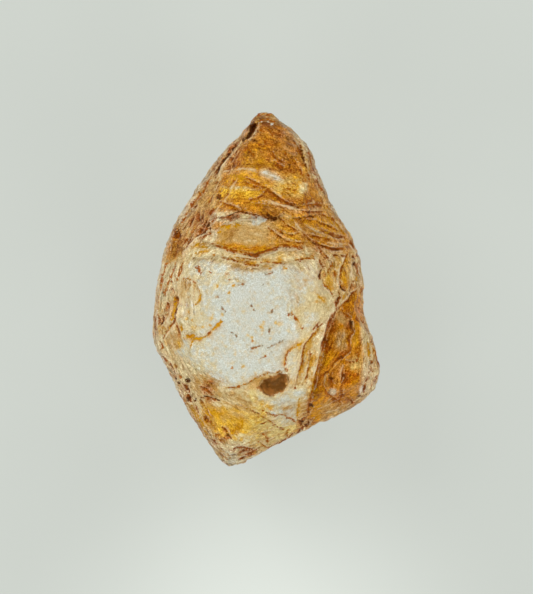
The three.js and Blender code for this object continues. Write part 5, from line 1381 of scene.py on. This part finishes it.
def draw_cracks(skin, seed, count=46):
    """Cracks that part the stone into blocks, seen on its sides and underneath."""
    low, high = skin.points.min(axis=0), skin.points.max(axis=0)
    spread = np.random.default_rng(seed).uniform(-1, 1, (count, 3))
    blocks = 0.5 * (low + high) + spread * 0.5 * (high - low)
    warped = skin.points + 0.35 * np.stack(
        [noise(skin.points, 1.6, seed + axis) for axis in range(3)], axis=1
    )
    gaps = np.sort(np.linalg.norm(warped[:, None] - blocks[None], axis=2), axis=1)
    gap = 0.5 * (gaps[:, 1] - gaps[:, 0])
    on_side = 1 - smoothstep(0.10, 0.40, skin.normals[:, 2])
    open_here = smoothstep(0.0, 0.35, noise(skin.points, 3.6, seed + 9)) * on_side
    line = crisp(0.045 * open_here - gap) * (open_here > 0.2)
    skin.lay("line", line, 0.6 + 0.3 * skin.cloud)
    skin.stain("rust", 0.5 * open_here * np.exp(-gap / 0.3))
    skin.lift -= 0.12 * open_here * np.exp(-((gap / 0.12) ** 2))


def draw_forms(skin, depth):
    """Everything that is drawn from the listed forms on the side that faces up."""
    for stain, share, border, outline in ZONES:
        skin.zone(stain, share, border, outline)
    for kind, dark, outline in POCKETS:
        skin.pocket(kind, dark, outline)
    for style, width, line in MARKS:
        skin.mark(style, width, line, depth)
    for stain, share, radius, places in FLECKS:
        for place in places:
            skin.fleck(stain, share, radius, np.array(place))


def draw_edge(skin):
    """The thin edge of the stone lets light through, and looks grey."""
    edge = smoothstep(0.42, 0.08, np.abs(skin.normals[:, 2] - 0.04))
    skin.stain("mist", 0.45 * edge * (0.6 + 0.9 * skin.cloud))
    skin.stain("rust", 0.22 * edge * (0.4 - 0.9 * skin.cloud))


def relief(skin, settings):
    """How far each vertex moves along its normal: what is drawn, and the natural unevenness."""
    on_flank = 1 - smoothstep(0.3, 0.75, skin.normals[:, 2])
    swell = 0.9 * skin.cloud + 0.5 * skin.blotch + 0.22 * skin.fine
    swell += on_flank * (1.4 * skin.blotch + 0.8 * skin.fine)
    ridges = 0.9 * skin.strokes(2.2, 0.9, settings.seed + 80)
    ridges += 0.5 * skin.strokes(1.3, 0.45, settings.seed + 84)
    swell += skin.wear * (1 - skin.stains[:, STAINS.index("milk")]) * ridges
    lift = skin.lift + settings.unevenness / MM * swell
    return lift * smoothstep(0.0, 0.5, skin.points[:, 2])


# MATERIALS

TABLE_LIGHT = 0.72  # what a surface must be, for the lamps to make it look as bright as it should


def rgba(colour):
    return (*colour[:3], 1.0)


def new_material(name):
    """A material with one shader, and short calls for placing and joining its nodes."""
    material = bpy.data.materials.new(name)
    material.use_nodes = True
    tree = material.node_tree
    tree.nodes.clear()

    def place(kind, **settings):
        node = tree.nodes.new("ShaderNode" + kind)
        for setting, value in settings.items():
            setattr(node, setting, value)
        return node

    def feed(socket, source):
        if isinstance(source, bpy.types.NodeSocket):
            tree.links.new(source, socket)
        else:
            socket.default_value = source

    def maths(operation, first, second=0.0, third=0.0):
        node = place("Math", operation=operation)
        for socket, source in zip(node.inputs, (first, second, third)):
            feed(socket, source)
        return node.outputs[0]

    def mixed(share, first, second):
        node = place("Mix", data_type="RGBA")
        feed(node.inputs[0], share)
        feed(node.inputs[6], first)
        feed(node.inputs[7], second)
        return node.outputs[2]

    def ramp(value, low, high, to_low=0.0, to_high=1.0):
        node = place("MapRange", interpolation_type="SMOOTHSTEP")
        for socket, source in zip(node.inputs, (value, low, high, to_low, to_high)):
            feed(socket, source)
        return node.outputs[0]

    output = place("OutputMaterial")
    shader = place("BsdfPrincipled")
    feed(output.inputs["Surface"], shader.outputs[0])
    return material, output, shader, (place, feed, maths, mixed, ramp)


def stone_material(settings):
    """The skin and inside of the stone, coloured and roughened by what is drawn on its vertices."""
    material, output, shader, tools = new_material("imperial_topaz")
    place, feed, maths, mixed, ramp = tools

    scaled = place("VectorMath", operation="SCALE")
    feed(scaled.inputs[0], place("TexCoord").outputs["Object"])
    scaled.inputs["Scale"].default_value = 1 / MM
    where = scaled.outputs[0]
    parts = place("SeparateXYZ")
    feed(parts.inputs[0], where)
    x, y, z = parts.outputs

    def drawn(name):
        return place("Attribute", attribute_name=name).outputs["Fac"]

    def times(first, second):
        return maths("MULTIPLY", first, second)

    def centred(value):
        return maths("SUBTRACT", value, 0.5)

    def flipped(value):
        return maths("SUBTRACT", 1.0, value)

    def noise_node(dimensions, vector, scale, detail, roughness):
        node = place("TexNoise", noise_dimensions=dimensions)
        feed(node.inputs["Vector"], vector)
        node.inputs["Scale"].default_value = scale
        node.inputs["Detail"].default_value = detail
        node.inputs["Roughness"].default_value = roughness
        return node

    def texture(size, detail, roughness=0.6):
        """Even noise with spots about one size across."""
        return noise_node("3D", where, 1 / size, detail, roughness).outputs

    def brushed(along, across, detail, roughness=0.6):
        """Noise drawn out along the fine strokes."""
        lie = place("CombineXYZ")
        feed(lie.inputs[0], maths("DIVIDE", x, along))
        feed(lie.inputs[1], maths("DIVIDE", y, along))
        feed(lie.inputs[2], maths("DIVIDE", drawn("lie"), across))
        node = noise_node("4D", lie.outputs[0], 1.0, detail, roughness)
        feed(node.inputs["W"], maths("DIVIDE", z, across * 1.3))
        return node.outputs

    def spread(texture):
        """A texture's three colour channels, sharpened so that one of them mostly wins."""
        split = place("SeparateColor")
        feed(split.inputs[0], texture["Color"])
        return [maths("POWER", channel, 7.0) for channel in split.outputs]

    def deeper(colour, amount):
        """A colour with its contrast raised, as where light has to pass through more stone."""
        node = place("Gamma")
        feed(node.inputs["Color"], colour)
        feed(node.inputs["Gamma"], amount)
        return node.outputs[0]

    def brighter(colour, amount, gain=(0.62, 0.74, 0.95)):
        """A colour raised by a share of itself, and most in the blue, so that it turns paler."""
        tint = place("VectorMath", operation="MULTIPLY_ADD")
        feed(tint.inputs[0], amount)
        feed(tint.inputs[1], gain)
        feed(tint.inputs[2], (1.0, 1.0, 1.0))
        node = place("VectorMath", operation="MULTIPLY")
        feed(node.inputs[0], colour)
        feed(node.inputs[1], tint.outputs[0])
        return node.outputs[0]

    grit = texture(0.22, 3.0)["Fac"]
    dust = texture(0.10, 2.0, 0.7)["Fac"]
    lump = texture(0.6, 2.0)["Fac"]
    cloud = texture(1.8, 3.0)["Fac"]
    brush = brushed(1.4, 0.42, 5.0, 0.70)["Fac"]
    thread = brushed(0.34, 0.12, 1.0, 0.5)["Fac"]
    fibre = brushed(0.85, 0.30, 2.0, 0.5)["Fac"]
    seams = brushed(3.0, 0.75, 3.0, 0.6)["Fac"]
    patches = spread(brushed(1.2, 0.42, 4.0, 0.65)) + spread(texture(0.5, 4.0, 0.7))

    # The stains, each gathered into patches, as shares of one colour.
    colour, total = None, None
    for stain, patch in zip(STAINS, PATCH_OF_STAIN):
        share = times(drawn(f"stain_{stain}"), patches[patch])
        step = place("VectorMath", operation="MULTIPLY_ADD")
        feed(step.inputs[0], tuple(getattr(settings, stain)))
        feed(step.inputs[1], share)
        if colour is not None:
            feed(step.inputs[2], colour)
        colour = step.outputs[0]
        total = share if total is None else maths("ADD", total, share)
    evened = place("VectorMath", operation="SCALE")
    feed(evened.inputs[0], colour)
    feed(evened.inputs["Scale"], maths("DIVIDE", 1.0, total))
    colour = evened.outputs[0]

    # Wear: brush strokes, grit and dust deepen the colour where they are over 1 and brighten it
    # where they are under 1. Iron stains are worn more, and the milky face has a fine grain.
    milk = drawn("stain_milk")
    wear = times(drawn("wear"), maths("MULTIPLY_ADD", milk, -0.7, 1.0))
    iron = maths("ADD", drawn("stain_amber"), drawn("stain_rust"))
    iron = maths("MINIMUM", maths("ADD", iron, drawn("stain_honey")), 1.0)
    swing = times(centred(brush), 5.6)
    swing = maths("MULTIPLY_ADD", centred(grit), 4.0, swing)
    swing = maths("MULTIPLY_ADD", centred(dust), 9.0, swing)
    swing = maths("MULTIPLY_ADD", swing, times(wear, maths("MULTIPLY_ADD", iron, 0.5, 0.55)), 1.0)
    grain = maths("MULTIPLY_ADD", centred(dust), 3.0, centred(grit))
    swing = maths("MULTIPLY_ADD", grain, times(milk, 0.8), swing)
    colour = deeper(colour, maths("MINIMUM", maths("MAXIMUM", swing, 1.0), 2.6))
    colour = brighter(colour, maths("MINIMUM", maths("MAXIMUM", flipped(swing), 0.0), 0.9))

    # Fine strokes, dark and pale, of short fibres, long seams and thin threads.
    edge = maths("MULTIPLY_ADD", times(ramp(cloud, 0.38, 0.60, 0.3, 1.0), wear), -0.10, 0.68)
    far_edge = maths("ADD", edge, 0.05)
    worn = ramp(wear, 0.1, 0.7)
    stroke = times(ramp(fibre, edge, far_edge), worn)
    pale = times(ramp(flipped(fibre), edge, far_edge), times(worn, 0.8))
    seam = ramp(maths("ABSOLUTE", centred(seams)), 0.022, 0.006)
    stroke = maths("MAXIMUM", stroke, times(seam, times(ramp(cloud, 0.60, 0.45), wear)))
    thin = times(ramp(thread, 0.57, 0.66), times(wear, 0.55))
    stroke = maths("MAXIMUM", stroke, thin)
    thin = times(ramp(flipped(thread), 0.57, 0.66), times(wear, 0.8))
    pale = maths("MAXIMUM", pale, thin)
    dark = mixed(0.35, deeper(colour, 2.8), rgba([c * 0.6 for c in settings.rusty_line]))
    colour = mixed(times(stroke, 0.9), colour, dark)
    colour = brighter(colour, pale, (0.55, 0.68, 1.0))

    # Crisp spots, crests, windows and lines, whose edges the grit makes ragged.
    ragged = maths("MULTIPLY_ADD", centred(lump), 0.55, times(centred(grit), 1.1))
    spot = ramp(maths("MULTIPLY_ADD", ragged, 1.5, drawn("spot")), 0.46, 0.60)
    spot_colour = mixed(drawn("ripe"), rgba(settings.gold), rgba(settings.rusty_line))
    colour = mixed(times(spot, 0.85), colour, spot_colour)
    # The pale crests are partly painted highlights along the rims of ledges and ridges.
    crest = ramp(maths("ADD", drawn("crest"), ragged), 0.46, 0.60)
    crest_colour = mixed(drawn("white"), rgba(settings.cream_crest), rgba(settings.white_crest_and_glint))
    on_iron = times(iron, flipped(drawn("white")))
    crest_colour = mixed(on_iron, crest_colour, rgba(settings.honey_crest))
    colour = mixed(times(crest, 0.74), colour, crest_colour)
    window = ramp(maths("ADD", drawn("window"), times(ragged, 1.4)), 0.42, 0.56)
    glass = rgba([c * 2.6 for c in settings.smoke])
    glass = mixed(ramp(lump, 0.40, 0.60), glass, rgba(settings.smoke))
    colour = mixed(times(window, 0.95), colour, glass)
    ragged_line = maths("ADD", drawn("line"), ragged)
    line = ramp(ragged_line, 0.43, 0.56)
    tone = maths("ADD", centred(dust), drawn("dark"))
    tone = maths("MULTIPLY_ADD", centred(lump), 1.2, tone)
    tone = maths("MULTIPLY_ADD", ramp(ragged_line, 0.75, 0.48), -0.14, tone)
    line_colour = mixed(ramp(tone, 0.0, 0.35), rgba(settings.gold), rgba(settings.rusty_line))
    line_colour = mixed(ramp(tone, 0.35, 1.0), line_colour, rgba(settings.black_line))
    scratch = times(ramp(milk, 0.5, 0.85), ramp(drawn("dark"), 0.1, 0.25))
    line_colour = mixed(times(scratch, 0.85), line_colour, rgba(settings.scratch))
    colour = mixed(times(line, 0.98), colour, line_colour)
    feed(shader.inputs["Base Color"], colour)

    dull = maths("MULTIPLY_ADD", milk, 0.12, ramp(brush, 0.3, 0.7, 0.30, 0.55))
    feed(shader.inputs["Roughness"], maths("MULTIPLY_ADD", line, 0.2, dull))

    # Relief: lines are cut in and crests stand out, as strokes and grit do where it is worn.
    rough = maths("MULTIPLY_ADD", centred(brush), -3.2, times(stroke, -0.5))
    rough = maths("MULTIPLY_ADD", pale, 0.3, rough)
    height = maths("MULTIPLY_ADD", line, -1.0, times(crest, 0.5))
    height = maths("MULTIPLY_ADD", rough, wear, height)
    height = maths("MULTIPLY_ADD", grit, 0.5, height)
    bump = place("Bump")
    bump.inputs["Strength"].default_value = 0.9
    bump.inputs["Distance"].default_value = 0.07 * MM
    feed(bump.inputs["Height"], height)
    feed(shader.inputs["Normal"], bump.outputs[0])

    shader.inputs["Metallic"].default_value = 0.0
    shader.inputs["IOR"].default_value = settings.refraction
    shader.inputs["Specular IOR Level"].default_value = settings.gloss
    shader.inputs["Specular Tint"].default_value = rgba(settings.glare)
    shader.inputs["Transmission Weight"].default_value = settings.clearness
    inside = place("VolumeAbsorption")
    inside.inputs["Color"].default_value = rgba(settings.body_colour)
    inside.inputs["Density"].default_value = settings.body_density
    feed(output.inputs["Volume"], inside.outputs[0])
    return material


def table_material(settings):
    """A pale sheet that glows a little, as on a light table, so that shadows stay faint."""
    material, _, shader, tools = new_material("pale_table")
    place, feed, _, mixed, ramp = tools
    where = place("TexCoord").outputs["Object"]
    speckle = place("TexNoise")
    feed(speckle.inputs["Vector"], where)
    speckle.inputs["Scale"].default_value = 40.0
    speckle.inputs["Detail"].default_value = 2.0
    shown = settings.table_colour
    uneven = ramp(speckle.outputs[0], 0.3, 0.7)
    lit = [c * (1 - settings.table_glow) * TABLE_LIGHT for c in shown]
    feed(shader.inputs["Base Color"], mixed(uneven, rgba(lit), rgba([c * 0.96 for c in lit])))
    away = place("VectorMath", operation="DISTANCE")
    feed(away.inputs[0], where)
    feed(away.inputs[1], (0.0, settings.pool_y, 0.0))
    # a painted pool of light: the table glows more in front of the stone
    gain = ramp(away.outputs["Value"], settings.pool_radius, 0.0, 1.0, 1.0 + settings.pool)
    glow = place("VectorMath", operation="SCALE")
    feed(glow.inputs[0], mixed(uneven, rgba(shown), rgba([c * 0.985 for c in shown])))
    feed(glow.inputs["Scale"], gain)
    feed(shader.inputs["Emission Color"], glow.outputs[0])
    shader.inputs["Emission Strength"].default_value = settings.table_glow
    shader.inputs["Roughness"].default_value = 0.9
    shader.inputs["Specular IOR Level"].default_value = 0.0
    return material


# OPERATORS


class TOPAZ_OT_crystal(bpy.types.Operator):
    """Make the stone's fine surface, draw its stains, ledges and cracks, and give its material"""

    bl_idname = "topaz.crystal"
    bl_label = "Make Crystal"

    def execute(self, context):
        settings = context.scene.topaz
        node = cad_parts[NODE]
        mesh = fine_mesh(node, settings.grain / MM)
        points = drawn_back(coordinates(mesh), node)
        if not np.isfinite(points).all():
            raise RuntimeError("the fine surface doesn't meet the solid")
        set_coordinates(mesh, points)
        points, normals = rounded(mesh)

        skin = Skin(points, normals, settings.seed)
        draw_ground(skin)
        draw_ledges(skin, settings.ledge_height / MM, settings.ledge_spacing / MM)
        draw_cracks(skin, settings.seed + 60)
        draw_forms(skin, settings.mark_depth)
        draw_edge(skin)

        points = points + normals * relief(skin, settings)[:, None]
        points[:, 2] = np.maximum(points[:, 2], 0)
        set_coordinates(mesh, points * MM)

        layers = {f"stain_{name}": skin.stains[:, i] for i, name in enumerate(STAINS)}
        for name in (*TONES, *TONES.values(), "window", "wear", "lie"):
            layers[name] = getattr(skin, name)
        for name, values in layers.items():
            attribute = mesh.attributes.new(name, "FLOAT", "POINT")
            attribute.data.foreach_set("value", values.astype(np.float32))
        mesh.polygons.foreach_set("use_smooth", np.ones(len(mesh.polygons), bool))
        mesh.materials.append(stone_material(settings))

        stone = bpy.data.objects.new("topaz_stone", mesh)
        context.scene.collection.objects.link(stone)
        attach(stone, "root")
        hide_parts(NODE)
        return {"FINISHED"}


class TOPAZ_OT_stage(bpy.types.Operator):
    """Set out the pale table, the soft light and the camera that looks straight down"""

    bl_idname = "topaz.stage"
    bl_label = "Set Stage"

    def execute(self, context):
        scene, settings = context.scene, context.scene.topaz_stage
        work = bmesh.new()
        bmesh.ops.create_circle(work, cap_ends=True, segments=96, radius=settings.table_radius)
        mesh = bpy.data.meshes.new("table")
        work.to_mesh(mesh)
        work.free()
        mesh.materials.append(table_material(settings))
        table = bpy.data.objects.new("table", mesh)
        table.location.z = -0.02 * MM
        scene.collection.objects.link(table)

        scene.world = self.room(settings)
        for name, azimuth, elevation, share in (
            ("lamp_tip_left", 315, 32, 1.5),
            ("lamp_tip_right", 45, 30, 0.9),
            ("lamp_foot_right", 135, 32, 1.0),
            ("lamp_foot_left", 225, 30, 0.8),
        ):
            self.lamp(scene, name, azimuth, elevation, share * settings.lamp_power)

        camera = bpy.data.objects.new("camera", bpy.data.cameras.new("camera"))
        widest = 0.007  # height at which the stone is widest
        distance = settings.camera_height - widest
        camera.data.sensor_width = 36
        camera.data.lens = camera.data.sensor_width * distance / settings.field_height
        camera.data.clip_start, camera.data.clip_end = 0.05, 5
        camera.location = (settings.camera_x, settings.camera_y, settings.camera_height)
        scene.collection.objects.link(camera)
        scene.camera = camera
        scene.view_settings.view_transform = "Standard"
        scene.view_settings.look = "None"
        return {"FINISHED"}

    def room(self, settings):
        """A room that is pale near the horizon and dimmer overhead, so that gloss stays deep."""
        world = bpy.data.worlds.new("soft_room")
        world.use_nodes = True
        tree = world.node_tree
        sky = tree.nodes["Background"]
        where = tree.nodes.new("ShaderNodeTexCoord")
        parts = tree.nodes.new("ShaderNodeSeparateXYZ")
        ramp = tree.nodes.new("ShaderNodeMapRange")
        ramp.interpolation_type = "SMOOTHSTEP"
        ramp.inputs["From Min"].default_value = 0.08  # height at which the room is palest
        ramp.inputs["From Max"].default_value = 0.75  # and from which it is dimmest
        ramp.inputs["To Min"].default_value = settings.horizon
        ramp.inputs["To Max"].default_value = settings.zenith
        tree.links.new(where.outputs["Generated"], parts.inputs[0])
        tree.links.new(parts.outputs["Z"], ramp.inputs["Value"])
        tree.links.new(ramp.outputs["Result"], sky.inputs["Strength"])
        brightest = max(settings.table_colour)
        sky.inputs["Color"].default_value = rgba([c / brightest for c in settings.table_colour])
        return world

    def lamp(self, scene, name, azimuth, elevation, power, distance=0.7, size=0.42):
        """A soft round lamp; azimuth 0 is over the tip's end and 90 over the right side."""
        turn, rise = math.radians(azimuth), math.radians(elevation)
        level = math.cos(rise)
        way = Vector((math.sin(turn) * level, math.cos(turn) * level, math.sin(rise)))
        data = bpy.data.lights.new(name, "AREA")
        data.shape, data.size, data.energy = "DISK", size, power
        lamp = bpy.data.objects.new(name, data)
        lamp.location = way * distance
        lamp.rotation_euler = way.to_track_quat("Z", "Y").to_euler()
        scene.collection.objects.link(lamp)


class TOPAZ_PT_panel(bpy.types.Panel):
    """The stone's and the stage's settings and operators"""

    bl_idname = "TOPAZ_PT_panel"
    bl_label = "Rough Imperial Topaz"
    bl_space_type = "VIEW_3D"
    bl_region_type = "UI"
    bl_category = "Topaz"

    def draw(self, context):
        for title, group, operator in (
            ("Crystal", context.scene.topaz, TOPAZ_OT_crystal.bl_idname),
            ("Stage", context.scene.topaz_stage, TOPAZ_OT_stage.bl_idname),
        ):
            box = self.layout.box()
            box.label(text=title)
            for name in group.__annotations__:
                box.prop(group, name)
            box.operator(operator)


CLASSES = (TopazSettings, StageSettings, TOPAZ_OT_crystal, TOPAZ_OT_stage, TOPAZ_PT_panel)


def register():
    for made in CLASSES:
        bpy.utils.register_class(made)
    bpy.types.Scene.topaz = PointerProperty(type=TopazSettings)
    bpy.types.Scene.topaz_stage = PointerProperty(type=StageSettings)


def unregister():
    del bpy.types.Scene.topaz_stage
    del bpy.types.Scene.topaz
    for made in reversed(CLASSES):
        bpy.utils.unregister_class(made)


def main():
    register()
    bpy.ops.topaz.crystal()
    bpy.ops.topaz.stage()


if __name__ == "__main__":
    main()
